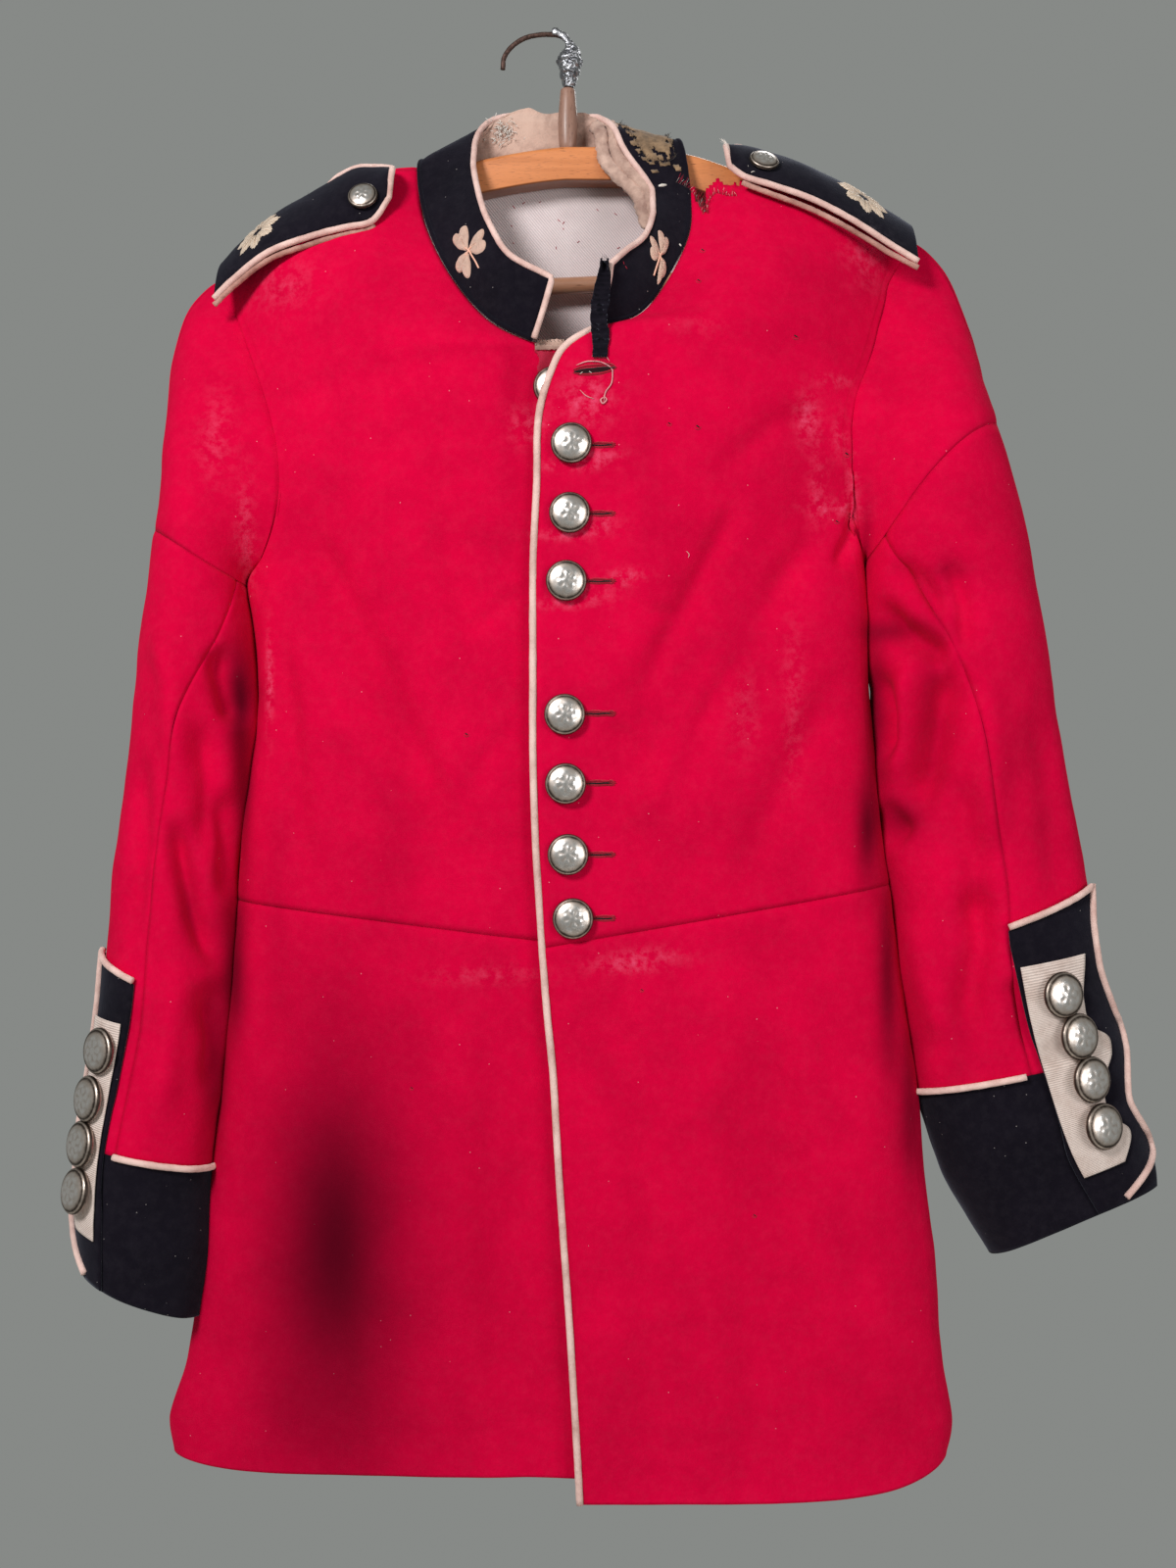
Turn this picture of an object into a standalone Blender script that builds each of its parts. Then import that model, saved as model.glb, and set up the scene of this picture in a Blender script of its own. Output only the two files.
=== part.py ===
"""Scarlet military tunic hanging from a wooden coat hanger, at rest.

Millimetres in the tables, metres in the scene. +X is the wearer's left, +Z is up, and the front faces -Y.
The origin is the inner top of the hanger's hook.
"""

import math

import bmesh
import bpy
from mathutils import Matrix, Vector

MM = 0.001
SEAM = 0.6
SIDE_SEAM = 0.85
CLOTH = 2.0
LINING = 1.2
TRIM = 1.4
PIPING = 1.9
FRONT_PIPING = 2.2
FRONT_BUTTON = 25.0
CUFF_BUTTON = 27.0
STRAP_BUTTON = 19.0
BACK_PLANE = 17.0
UNDERLAP = 3.2
FIRST_BUTTON_SINK = 7.0
LINING_HEIGHTS = (-104, -150, -200, -250, -300)
LINING_WIDTHS = (-110, -84, -56, -28, 0, 28, 56, 84, 110)
SLASH_OUT = 1.05
SLASH_TOP_SLANT = 14.0
SLASH_CLEAR = PIPING + 2.5

HEX = {
    "scarlet_cloth": "#B8062B",
    "black_cloth": "#16161C",
    "cream_piping": "#D8B9A0",
    "cream_lining": "#C9B79E",
    "white_twill": "#D8D0C8",
    "white_facing": "#C8B7A3",
    "button_silver": "#B9B4AC",
    "embroidery": "#DDB59A",
    "beech": "#B9773F",
    "turned_wood": "#8A5A44",
    "rusty_wire": "#4A3830",
    "binding_foil": "#A9A9AC",
}
SHINE = {
    "button_silver": (0.25, 1.0),
    "rusty_wire": (0.6, 1.0),
    "binding_foil": (0.35, 1.0),
    "beech": (0.35, 0.0),
}


def table(columns, *rows):
    names = columns.split()
    return [dict(zip(names, row)) for row in rows]


def column(rows, name, at):
    """The value of a named column at a fractional row, on a smooth curve through the rows."""
    last = len(rows) - 1
    k = min(int(at), last - 1)
    t = at - k
    a, b = rows[k][name], rows[k + 1][name]
    before = rows[k - 1][name] if k > 0 else 2 * a - b
    after = rows[k + 2][name] if k + 2 <= last else 2 * b - a
    m0, m1 = (b - before) / 2, (after - a) / 2
    if (b - a) * m0 <= 0:
        m0 = 0
    if (b - a) * m1 <= 0:
        m1 = 0
    s = 1 - t
    return (1 + 2 * t) * s * s * a + t * s * s * m0 + t * t * (3 - 2 * t) * b - t * t * s * m1


PANEL = "in_x in_y in_z out_x out_y out_z side bulge arch lift"

# The wearer's left front laps over. Rows run from the waist seam up to the shoulder seam.
FRONT_LEFT = table(
    PANEL,
    (-2, -73, -583, 214, -24, -546, 1, 0, 0, 1),
    (-6, -75, -516, 208, -24, -505, 1, 0, 0, 1),
    (-7.5, -76, -460, 204, -24, -456, 1, 0, 0, 1),
    (-7.5, -76, -405, 201, -24, -408, 1, 0, 0, 1),
    (-7.5, -76, -365, 200, -25, -372, 0.9, 0, 0, 1),
    (-7, -76, -338, 198, -30, -346, 0.6, 2, 0, 1),
    (-6, -76, -318, 194, -40, -327, 0.3, 4, 0, 1),
    (-5, -76, -296, 190, -47, -306, 0.1, 5, 0, 1),
    (-5, -76, -274, 188, -49, -283, 0, 6, 0, 1),
    (-3, -76, -254, 188, -48, -262, 0, 6, 1, 1),
    (3, -76, -234, 192, -44, -241, 0, 6, 2, 1),
    (12, -75, -217, 199, -37, -223, 0, 6, 3, 1),
    (31, -72, -205, 205, -30, -205, 0, 8, 4, 1),
    (55, -63, -195, 209, -24, -190, 0, 9, 6, 1),
    (71.5, -54, -174.5, 213, -18, -176, 0, 10, 8, 1),
    (87.5, -38, -139.5, 216, -13, -164, 0, 9, 10, 1),
    (89.5, -25, -110, 224, -9, -149, 0, 8, 13, 1),
    (88, -11, -79, 232, -4, -134, 0, 3, 16, 1),
)
FRONT_RIGHT = table(
    PANEL,
    (24, -69, -583, -197, -24, -556, 1, 0, 0, 1),
    (22, -70, -525, -194, -24, -512, 1, 0, 0, 1),
    (20, -71, -470, -189, -24, -470, 1, 0, 0, 1),
    (20, -71, -425, -184, -24, -428, 1, 0, 0, 1),
    (20, -71, -385, -186, -25, -388, 0.9, 0, 0, 1),
    (20, -71, -350, -190, -30, -358, 0.6, 2, 0, 1),
    (20, -71, -325, -179, -42, -341, 0.3, 3, 0, 1),
    (20, -71, -300, -171, -48, -320, 0.1, 4, 0, 1),
    (20, -71, -272, -168, -50, -297, 0, 5, 0, 1),
    (20, -70, -245, -170, -48, -272, 0, 6, 1, 1),
    (18, -70, -218, -176, -43, -248, 0, 6, 2, 1),
    (-9, -72, -213, -184, -36, -226, 0, 6, 3, 1),
    (-35, -65, -200, -192, -28, -205, 0, 8, 4, 1),
    (-54, -54, -178, -198, -21, -190, 0, 10, 6, 1),
    (-71, -41, -150, -203, -15, -178, 0, 12, 8, 1),
    (-81, -26, -121, -207, -10, -167, 0, 10, 12, 1),
    (-85, -9, -88, -211, -4, -158, 0, 3, 17, 1),
)
BACK_LEFT = table(
    PANEL,
    (4, 17, -575, 214, -24, -546, 1, 0, 0, 1),
    (4, 17, -515, 208, -24, -505, 1, 0, 0, 1),
    (4, 17, -460, 204, -24, -456, 1, 0, 0, 1),
    (4, 17, -405, 201, -24, -408, 1, 0, 0, 1),
    (4, 17, -365, 200, -25, -372, 0.95, 0, 0, 1),
    (4, 17, -330, 198, -29, -346, 0.8, 0, 0, 1),
    (4, 17, -300, 198, -10, -324, 0.3, 0, 0, 1),
    (4, 17, -255, 195, 8, -285, 0, 0, 0, 1),
    (4, 17, -205, 193, 13, -240, 0, 0, 0, 1),
    (4, 17, -150, 199, 13, -200, 0, 0, 1, 1),
    (4, 17, -98, 208, 14, -168, 0, 0, 4, 1),
    (36, 17, -96, 213, 13, -156, 0, 0, 8, 1),
    (68, 17, -83, 222, 13, -145, 0, 0, 13, 1),
    (82, 7, -74, 229, 5, -136, 0, 0, 16, 1),
    (88, -9, -76.6, 233, -2.6, -133, 0, 3, 16, 1),
)
BACK_RIGHT = table(
    PANEL,
    (4, 17, -575, -197, -24, -556, 1, 0, 0, 1),
    (4, 17, -515, -194, -24, -512, 1, 0, 0, 1),
    (4, 17, -460, -189, -24, -470, 1, 0, 0, 1),
    (4, 17, -405, -184, -24, -428, 1, 0, 0, 1),
    (4, 17, -365, -186, -25, -388, 0.95, 0, 0, 1),
    (4, 17, -330, -190, -29, -358, 0.8, 0, 0, 1),
    (4, 17, -300, -194, -8, -338, 0.3, 0, 0, 1),
    (4, 17, -255, -192, 9, -300, 0, 0, 0, 1),
    (4, 17, -205, -190, 13, -255, 0, 0, 0, 1),
    (4, 17, -150, -194, 13, -215, 0, 0, 1, 1),
    (4, 17, -98, -203, 14, -182, 0, 0, 4, 1),
    (-30, 17, -96, -207, 13, -170, 0, 0, 8, 1),
    (-65, 17, -86, -210, 13, -162, 0, 0, 14, 1),
    (-80, 7, -84, -212, 5, -158, 0, 0, 17, 1),
    (-85, -7, -86, -212, -3, -157.5, 0, 3, 17, 1),
)
# Skirts run from the waist seam down to the hem, whose outer corner lifts.
SKIRT_FRONT_LEFT = table(
    PANEL,
    (-2, -73, -582.4, 214, -24, -545.4, 1, 0, 0, 1),
    (1, -73, -622, 224, -24, -622, 1, 0, 0, 1),
    (5, -72, -664, 231, -24, -668, 1, 0, 0, 1),
    (8.5, -71, -725, 237, -24, -728, 1, 0, 0, 1),
    (12, -70, -774, 243, -24, -785, 1, 0, 0, 1),
    (16, -68, -834, 248, -24, -846, 1, 0, 0, 1),
    (19, -66, -886, 254, -24, -884, 1, 0, 0, 2),
    (21, -65, -925, 250, -27, -904, 1, 0, 0, 8),
)
SKIRT_FRONT_RIGHT = table(
    PANEL,
    (24, -69, -582.4, -197, -24, -555.4, 1, 0, 0, 1),
    (25, -69, -622, -201, -24, -616, 1, 0, 0, 1),
    (26, -68, -664, -206, -24, -668, 1, 0, 0, 1),
    (26, -67, -725, -214, -24, -729, 1, 0, 0, 1),
    (26, -65, -787, -220, -24, -787, 1, 0, 0, 1),
    (26, -63, -834, -229, -24, -843, 1, 0, 0, 1),
    (26, -62, -876, -240, -24, -882, 1, 0, 0, 2),
    (26, -61, -912, -236, -27, -902, 1, 0, 3, 8),
)
BACK_TOP, BACK_HEM = -574.4, -908

# The front's buttons, from the neck down; the first is unfastened, on the underlap.
FRONT_BUTTONS = table(
    "x z",
    (3, -240),
    (14, -277),
    (13, -319),
    (11, -360),
    (10, -441),
    (10.5, -483),
    (12, -526),
    (15, -565),
)

# Soft folds as straight creases: ends, the depth of a hollow (negative for a ridge) and half its width.
FOLDS = table(
    "x0 z0 x1 z1 depth wide",
    (112, -330, 30, -510, 5, 24),
    (168, -290, 92, -470, 4, 26),
    (70, -300, 48, -420, -3, 22),
    (-150, -320, -52, -560, 4, 26),
    (-95, -300, -30, -520, -3, 26),
    (40, -640, 50, -900, -5, 34),
    (120, -600, 140, -900, 5, 36),
    (200, -640, 214, -880, -4, 30),
    (-60, -620, -70, -890, -4, 34),
    (-130, -600, -140, -880, 6, 38),
)


def fold_depth(x, z):
    """How far the folds push the cloth in at a place on the front."""
    total = 0.0
    for f in FOLDS:
        along_x, along_z = f["x1"] - f["x0"], f["z1"] - f["z0"]
        length = math.hypot(along_x, along_z)
        t = ((x - f["x0"]) * along_x + (z - f["z0"]) * along_z) / length**2
        across = ((x - f["x0"]) * along_z - (z - f["z0"]) * along_x) / length
        ends = min(max(min(t, 1 - t) * 3 + 0.4, 0), 1)
        total += f["depth"] * math.exp(-((across / f["wide"]) ** 2)) * ends * ends * (3 - 2 * ends)
    return total


def panel_point(rows, at, u, folds=1.0, under=0.0):
    """A point of a body panel: at runs along the rows, u from the inner edge to the seam at the side."""
    v = {name: column(rows, name, at) for name in PANEL.split()}
    x = v["in_x"] + (v["out_x"] - v["in_x"]) * u
    z = v["in_z"] + (v["out_z"] - v["in_z"]) * u ** v["lift"] + v["arch"] * 4 * u * (1 - u)
    flat = v["side"] * (1 - u**3) ** (1 / 3) + (1 - v["side"]) * (1 - u**2.2)
    y = v["out_y"] + (v["in_y"] - v["out_y"]) * flat - v["bulge"] * 4 * u * (1 - u)
    inside = min(1, 6 * (1 - u)) * folds
    if inside:
        y += fold_depth(x, z) * inside
    if under:
        loose = FIRST_BUTTON_SINK * math.exp(-(((z - FRONT_BUTTONS[0]["z"]) / 24) ** 2))
        y += (under + loose) / (1 + math.exp(-(x + 22) / 4))
    return Vector((x, y, z))


def panel_at(rows, x, z, folds=0.0, under=0.0):
    """The point of a body panel at x and z, found by small steps."""
    at, u = 8.0, 0.1
    for _ in range(40):
        here = panel_point(rows, at, u, folds, under)
        at = min(max(at + (z - here.z) / 50, 0), len(rows) - 1)
        u = min(max(u + (x - here.x) / (rows[3]["out_x"] - rows[3]["in_x"]), 0), 1)
    return here


def side_steps(count, crowd=1.9):
    return [1 - (1 - j / count) ** crowd for j in range(count + 1)]


def panel_grid(rows, row_count, columns, folds=1.0, under=0.0):
    steps = [(len(rows) - 1) * i / row_count for i in range(row_count + 1)]
    return [[panel_point(rows, at, u, folds, under) for u in side_steps(columns)] for at in steps]


def shrink(grid, by=SEAM, closed=False):
    """Pulls the grid's edges in, so that pieces keep a gap at their seams."""
    for first, second in ((0, 1), (-1, -2)):
        for a, b in zip(grid[first], grid[second]):
            a += (b - a).normalized() * by
    if not closed:
        for row in grid:
            for first, second in ((0, 1), (-1, -2)):
                row[first] += (row[second] - row[first]).normalized() * by
    return grid


def colour(name):
    def linear(value):
        return value / 12.92 if value <= 0.04045 else ((value + 0.055) / 1.055) ** 2.4

    channels = [int(HEX[name][i : i + 2], 16) / 255 for i in (1, 3, 5)]
    return (*map(linear, channels), 1.0)


def material(name):
    found = bpy.data.materials.get(name)
    if found:
        return found
    made = bpy.data.materials.new(name)
    made.use_nodes = True
    shader = made.node_tree.nodes["Principled BSDF"]
    rough, metal = SHINE.get(name, (0.9, 0.0))
    shader.inputs["Base Color"].default_value = colour(name)
    shader.inputs["Roughness"].default_value = rough
    shader.inputs["Metallic"].default_value = metal
    return made


def add_object(name, data, material_name, group):
    obj = bpy.data.objects.new(name, data)
    data.materials.append(material(material_name))
    group.objects.link(obj)
    return obj


def mesh_from(name, bm):
    data = bpy.data.meshes.new(name)
    bm.to_mesh(data)
    bm.free()
    return data


def grid_mesh(grid, closed=False):
    bm = bmesh.new()
    points = [[bm.verts.new(p * MM) for p in row] for row in grid]
    width = len(grid[0])
    for upper, lower in zip(points, points[1:]):
        for j in range(width if closed else width - 1):
            k = (j + 1) % width
            bm.faces.new((upper[j], upper[k], lower[k], lower[j]))
    return bm


def face_away(bm, inside):
    """Turns every face so that it looks away from a point or, at least, most of them do."""
    bm.normal_update()
    turn = sum((f.calc_center_median() - inside * MM).dot(f.normal) * f.calc_area() for f in bm.faces)
    if turn < 0:
        bmesh.ops.reverse_faces(bm, faces=bm.faces[:])


def cloth(name, grid, inside, thick, material_name, group, closed=False, outward=False):
    """A sheet through a grid of points, given its wall by Solidify, inwards unless outward is set."""
    bm = grid_mesh(grid, closed)
    face_away(bm, Vector(inside))
    obj = add_object(name, mesh_from(name, bm), material_name, group)
    wall = obj.modifiers.new("wall", "SOLIDIFY")
    wall.thickness = thick * MM
    wall.offset = 1.0 if outward else -1.0
    return obj


def cord(name, points, radius, material_name, group, sides=1):
    data = bpy.data.curves.new(name, "CURVE")
    data.dimensions = "3D"
    data.bevel_depth = radius * MM
    data.bevel_resolution = sides
    data.use_fill_caps = True
    line = data.splines.new("POLY")
    line.points.add(len(points) - 1)
    for target, p in zip(line.points, points):
        target.co = (*(Vector(p) * MM), 1)
    return add_object(name, data, material_name, group)


def turned(name, profile, steps, material_name, group):
    """A Screw around Z from (radius, height) points that run down the outer side."""
    bm = bmesh.new()
    points = [bm.verts.new((r * MM, 0, z * MM)) for r, z in profile]
    for a, b in zip(points, points[1:]):
        bm.edges.new((a, b))
    obj = add_object(name, mesh_from(name, bm), material_name, group)
    spin = obj.modifiers.new("turn", "SCREW")
    spin.steps = steps
    spin.render_steps = steps
    spin.use_merge_vertices = True
    spin.merge_threshold = 0.00001
    return obj


def smooth_line(points, count):
    """Points on a smooth curve through a short list of points."""
    rows = [dict(zip("xyz", p)) for p in points]
    last = len(rows) - 1
    return [Vector([column(rows, axis, last * i / count) for axis in "xyz"]) for i in range(count + 1)]


# The stand collar, from the wearer's right front edge round the back to the left front edge.
COLLAR = table(
    "base_x base_y base_z top_x top_y top_z",
    (-10.3, -72, -212, 1, -78, -177),
    (-33.7, -66, -199.2, -24, -72, -162),
    (-52.8, -55, -178, -36, -60, -142),
    (-69, -42, -149.8, -44, -45, -120),
    (-79.8, -27.5, -118.5, -50, -22, -90),
    (-84.3, -12, -87, -50, -8, -72),
    (-80, 3, -80, -46, 4, -58),
    (-64, 14, -83, -37, 12, -50),
    (-30, 16, -94, -18, 15, -46),
    (4, 16, -96, 0, 15, -48),
    (40, 16, -93, 22, 14, -48),
    (66, 14, -71, 34, 10, -50),
    (79, 1, -68, 42, -6, -61),
    (84, -13, -74, 49, -17, -79),
    (88, -24, -108, 66, -29, -108),
    (86, -37, -138, 66, -41, -126),
    (70, -53, -173, 60, -55, -145),
    (54, -62, -194, 48, -68, -158),
    (31, -73, -203, 39, -76, -168),
)
COLLAR_MIDDLE = 9
COLLAR_STEP = 0.6
COLLAR_CLEAR = PIPING + 1.1


def collar_point(at, rise, out=0.0):
    """A point of the collar's outer face; out is measured along its normal."""

    def place(s, h):
        base = Vector([column(COLLAR, "base_" + axis, s) for axis in "xyz"])
        top = Vector([column(COLLAR, "top_" + axis, s) for axis in "xyz"])
        belly = 2.5 * 4 * h * (1 - h)
        away = ((base + top) / 2 - Vector((2, -30, -120))).normalized()
        return base.lerp(top, h) + away * belly

    here = place(at, rise)
    if not out:
        return here
    along = place(min(at + 0.05, len(COLLAR) - 1), rise) - place(max(at - 0.05, 0), rise)
    up = place(at, min(rise + 0.02, 1)) - place(at, max(rise - 0.02, 0))
    normal = along.cross(up).normalized()
    if normal.dot(here - Vector((2, -30, -120))) < 0:
        normal.negate()
    return here + normal * out


# Sleeve rings from the cross seam down to the cuff's rim: centre, half width, half depth, tilt of the ring.
RING = "x y z wide deep tilt sag"
SLEEVE = {
    "left": table(
        RING,
        (241, -24, -300, 60, 46, 46, 16),
        (256.5, -25, -385, 55.6, 44, 14, 0),
        (262.2, -26, -440, 57.8, 42, 9, 0),
        (268.2, -26, -490, 59.8, 40, 8, 0),
        (278, -26, -545, 61, 39, 10, 0),
        (284.5, -26, -595, 61.6, 37, 10, 0),
        (291, -26, -635, 62, 36, 11, 0),
        (297, -26, -662, 63, 36, 12, 0),
        (312, -26, -712, 60, 36, 17, 0),
        (333, -26, -756, 54, 36, 23, 6),
    ),
    "right": table(
        RING,
        (-220, -24, -341, 34, 44, 31, 0),
        (-222.2, -25, -388, 35.8, 44, 14, 0),
        (-224.5, -26, -437, 38.5, 44, 8, 0),
        (-230, -26, -485, 38, 43, 6, 0),
        (-236.3, -26, -535, 38.7, 42, 6, 0),
        (-240, -26, -585, 39, 42, 7, 0),
        (-243.8, -26, -635, 39.2, 42, 8, 0),
        (-256, -26, -713, 38, 43, 12, 0),
        (-257.7, -26, -757, 40.2, 43, 17, 0),
        (-260, -26, -800, 36, 43, 22, 0),
    ),
}
OUTWARD = {"left": 1, "right": -1}
CUFF_ROW = 7
FRONT = {"left": FRONT_LEFT, "right": FRONT_RIGHT}
BACK = {"left": BACK_LEFT, "right": BACK_RIGHT}
ARMPIT_ROW = 5
# Where the long seam runs on the sleeve's front, as turns from the outer side, one for each ring.
FRONT_SEAM = {
    "left": (0.40, 0.29, 0.25, 0.24, 0.24, 0.25, 0.25, 0.25),
    "right": (0.42, 0.33, 0.25, 0.235, 0.225, 0.225, 0.225, 0.21),
}
BACK_SEAM = 0.72


def sleeve_point(side, at, turn, out=0.0):
    """A point of the sleeve below its cross seam; turn runs from the outer side over the front."""
    v = {name: column(SLEEVE[side], name, at) for name in RING.split()}
    angle = 2 * math.pi * turn
    tilt = math.radians(v["tilt"])
    wide, deep = v["wide"] + out, v["deep"] + out
    across = Vector((OUTWARD[side] * math.cos(tilt), 0, math.sin(tilt)))
    centre = Vector((v["x"], v["y"], v["z"] + v["sag"] * max(math.sin(angle), 0) ** 2))
    return centre + across * (wide * math.cos(angle)) + Vector((0, -deep * math.sin(angle), 0))


def armhole_point(side, turn):
    """A point of the armhole: turn 0 is the shoulder, 0.5 the armpit."""
    rows = FRONT[side] if turn <= 0.5 else BACK[side]
    share = turn * 2 if turn <= 0.5 else (1 - turn) * 2
    at = len(rows) - 1 + (ARMPIT_ROW - len(rows) + 1) * share
    return Vector([column(rows, "out_" + axis, at) for axis in "xyz"])


def head_point(side, t, turn):
    """A point of the sleeve head: t 0 is the armhole, 1 the cross seam."""
    start, end = armhole_point(side, turn), sleeve_point(side, 0, turn)
    below = sleeve_point(side, 0.2, turn)
    reach = (end - start).length
    out = Vector((OUTWARD[side], -0.25 * math.sin(2 * math.pi * turn), -0.5)).normalized()
    leave, arrive = out * reach * 0.9, (below - end).normalized() * reach * 1.0
    s = 1 - t
    return (
        start * ((1 + 2 * t) * s * s)
        + leave * (t * s * s)
        + end * (t * t * (3 - 2 * t))
        - arrive * (t * t * s)
    )


def at_rise(side, rise):
    """The fractional ring that lies this many mm above the cuff's rim."""
    rows = SLEEVE[side]
    left = rise
    for k in range(len(rows) - 1, 0, -1):
        a, b = rows[k], rows[k - 1]
        step = math.dist((a["x"], a["z"]), (b["x"], b["z"]))
        if left <= step:
            return k - left / step
        left -= step
    return 0.0


def build_body(group):
    mid = Vector((5, -20, -350))
    for side in ("left", "right"):
        under = UNDERLAP if side == "right" else 0.0
        front = shrink(panel_grid(FRONT[side], 17, 10, 1.0, under))
        cloth("front_" + side, front, mid, CLOTH, "scarlet_cloth", group)
        back = shrink(panel_grid(BACK[side], 14, 8, 0.0))
        cloth("back_" + side, back, Vector((5, -60, -350)), CLOTH, "scarlet_cloth", group)
    for side, rows in (("left", SKIRT_FRONT_LEFT), ("right", SKIRT_FRONT_RIGHT)):
        under = UNDERLAP if side == "right" else 0.0
        skirt = shrink(panel_grid(rows, 8, 10, 1.0, under), SIDE_SEAM)
        cloth("skirt_front_" + side, skirt, Vector((5, -20, -750)), CLOTH, "scarlet_cloth", group)
    skirt = shrink(skirt_back_grid(), SIDE_SEAM)
    cloth("skirt_back", skirt, Vector((5, -60, -750)), CLOTH, "scarlet_cloth", group)
    lining = []
    for z in LINING_HEIGHTS:
        row = []
        for x in LINING_WIDTHS:
            here = panel_at(BACK_LEFT if x > 4 else BACK_RIGHT, x, z)
            row.append(Vector((x, here.y - CLOTH - 1.0, z)))
        lining.append(row)
    cloth("back_lining", lining, Vector((0, 60, -200)), LINING, "white_twill", group, outward=True)


def skirt_back_grid():
    """The skirt's back, from one side seam to the other."""
    grid = []
    count = 8
    for i in range(count + 1):
        at = 7 * i / count
        row = []
        for rows, ordered in ((SKIRT_FRONT_RIGHT, True), (SKIRT_FRONT_LEFT, False)):
            out = {axis: column(rows, "out_" + axis, at) for axis in "xyz"}
            middle = BACK_TOP + (BACK_HEM - BACK_TOP) * i / count
            steps = side_steps(7)
            half = []
            for u in steps if not ordered else steps[::-1]:
                flat = (1 - u**3) ** (1 / 3)
                x = 4 + (out["x"] - 4) * u
                y = out["y"] + (BACK_PLANE - out["y"]) * flat
                half.append(Vector((x, y, middle + (out["z"] - middle) * u**1.5)))
            row += half if ordered else half[1:]
        grid.append(row)
    return grid


def beside(edge, within, along):
    """A point clear of an edge, square to it and away from a point within the cloth."""
    run = (edge - along).normalized()
    away = edge - within
    away -= run * away.dot(run)
    return edge + away.normalized() * COLLAR_CLEAR


def build_collar(group):
    inside = Vector((2, -30, -120))
    last = len(COLLAR) - 1
    for side, first in (("right", 0), ("left", COLLAR_MIDDLE)):
        grid = [[collar_point(first + COLLAR_STEP * i, h / 2) for i in range(16)] for h in range(3)]
        cloth("collar_" + side, shrink(grid, 0.3), inside, CLOTH, "black_cloth", group)
        opening, nearby = (last, last - 0.2) if side == "left" else (0, 0.2)
        onward = 1 if side == "left" else -1
        route = []
        for i in range(16):
            at = COLLAR_MIDDLE + onward * max(COLLAR_STEP * i, 0.06)
            route.append(beside(collar_point(at, 1), collar_point(at, 0.9), collar_point(at - onward * 0.1, 1)))
        for rise in (0.95, 0.6, 0.3, 0.06):
            edge = collar_point(opening, rise)
            route.append(beside(edge, collar_point(nearby, rise), collar_point(opening, rise - 0.05)))
        cord("collar_piping_" + side, route, PIPING, "cream_piping", group)
    grid = [
        [collar_point(COLLAR_STEP * i, 0.14 + 0.4 * h, -CLOTH - 2.2) for i in range(1, 30)]
        for h in range(3)
    ]
    cloth("collar_lining", grid, inside, LINING, "cream_lining", group)


def build_sleeves(group):
    for side in ("left", "right"):
        count = 20
        centre = Vector((SLEEVE[side][0]["x"] - OUTWARD[side] * 20, -22, -300))
        rings = [[head_point(side, t / 5, k / count) for k in range(count)] for t in range(6)]
        cloth("sleeve_head_" + side, shrink(rings, 1.2, True), centre, CLOTH, "scarlet_cloth", group, True)
        steps = [CUFF_ROW * i / 9 for i in range(10)]
        seam = [dict(turn=turn) for turn in FRONT_SEAM[side]]
        middle = Vector((SLEEVE[side][3]["x"], -26, SLEEVE[side][3]["z"]))
        outer, inner = [], []
        for at in steps:
            front = column(seam, "turn", at)
            rest = front - BACK_SEAM
            outer.append([sleeve_point(side, at, BACK_SEAM - 1 + (rest + 1) * j / 10) for j in range(11)])
            inner.append([sleeve_point(side, at, front - rest * j / 8) for j in range(9)])
        cloth("sleeve_top_" + side, shrink(outer), middle, CLOTH, "scarlet_cloth", group)
        cloth("sleeve_under_" + side, shrink(inner), middle, CLOTH, "scarlet_cloth", group)
        first, last = CUFF_ROW + 0.005, len(SLEEVE[side]) - 1
        steps = [first + (last - first) * i / 4 for i in range(5)]
        band = [[sleeve_point(side, at, k / count) for k in range(count)] for at in steps]
        low = Vector((SLEEVE[side][8]["x"], -26, SLEEVE[side][8]["z"]))
        cloth("cuff_" + side, band, low, CLOTH, "black_cloth", group, True)


# The scalloped slash on the cuff, by height above the rim: its edges as turns, and the white face's edges.
# Left and right are how far the outer edge stands out on each sleeve, and how far out each button sits.
SLASH = table(
    "rise start end left right",
    (1, 0.235, 0.07, 0, 0),
    (28, 0.235, 0.005, 2, 11),
    (46, 0.235, 0.045, 2, 4),
    (66, 0.23, 0.075, 1.2, 0),
    (82, 0.23, 0.06, 1.6, 1),
    (112, 0.235, 0.01, 2.4, 6),
    (128, 0.24, 0.04, 1.6, 2),
    (158, 0.245, 0.075, 1, 0),
    (184, 0.25, 0.075, 1, 0),
    (206, 0.25, 0.06, 1, 0),
)
SLASH_FACE = table(
    "rise start end left right",
    (34, 0.20, 0.105, 0, 0),
    (52, 0.215, 0.10, 0, 0),
    (72, 0.222, 0.12, 0, 0),
    (90, 0.224, 0.105, 0, 0),
    (108, 0.228, 0.085, 0, 0),
    (122, 0.232, 0.10, 0, 0),
    (140, 0.236, 0.118, 0, 0),
    (164, 0.24, 0.11, 0, 0),
)
CUFF_PIPING_END = 0.92
SLASH_TURN = {"left": 0.0, "right": -0.05}
CUFF_BUTTONS = table(
    "rise turn left right",
    (148, 0.185, 3.3, 2.6),
    (119, 0.172, 3.6, 2.6),
    (89, 0.17, 3.6, 3.0),
    (59, 0.17, 3.6, 4.0),
)


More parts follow.
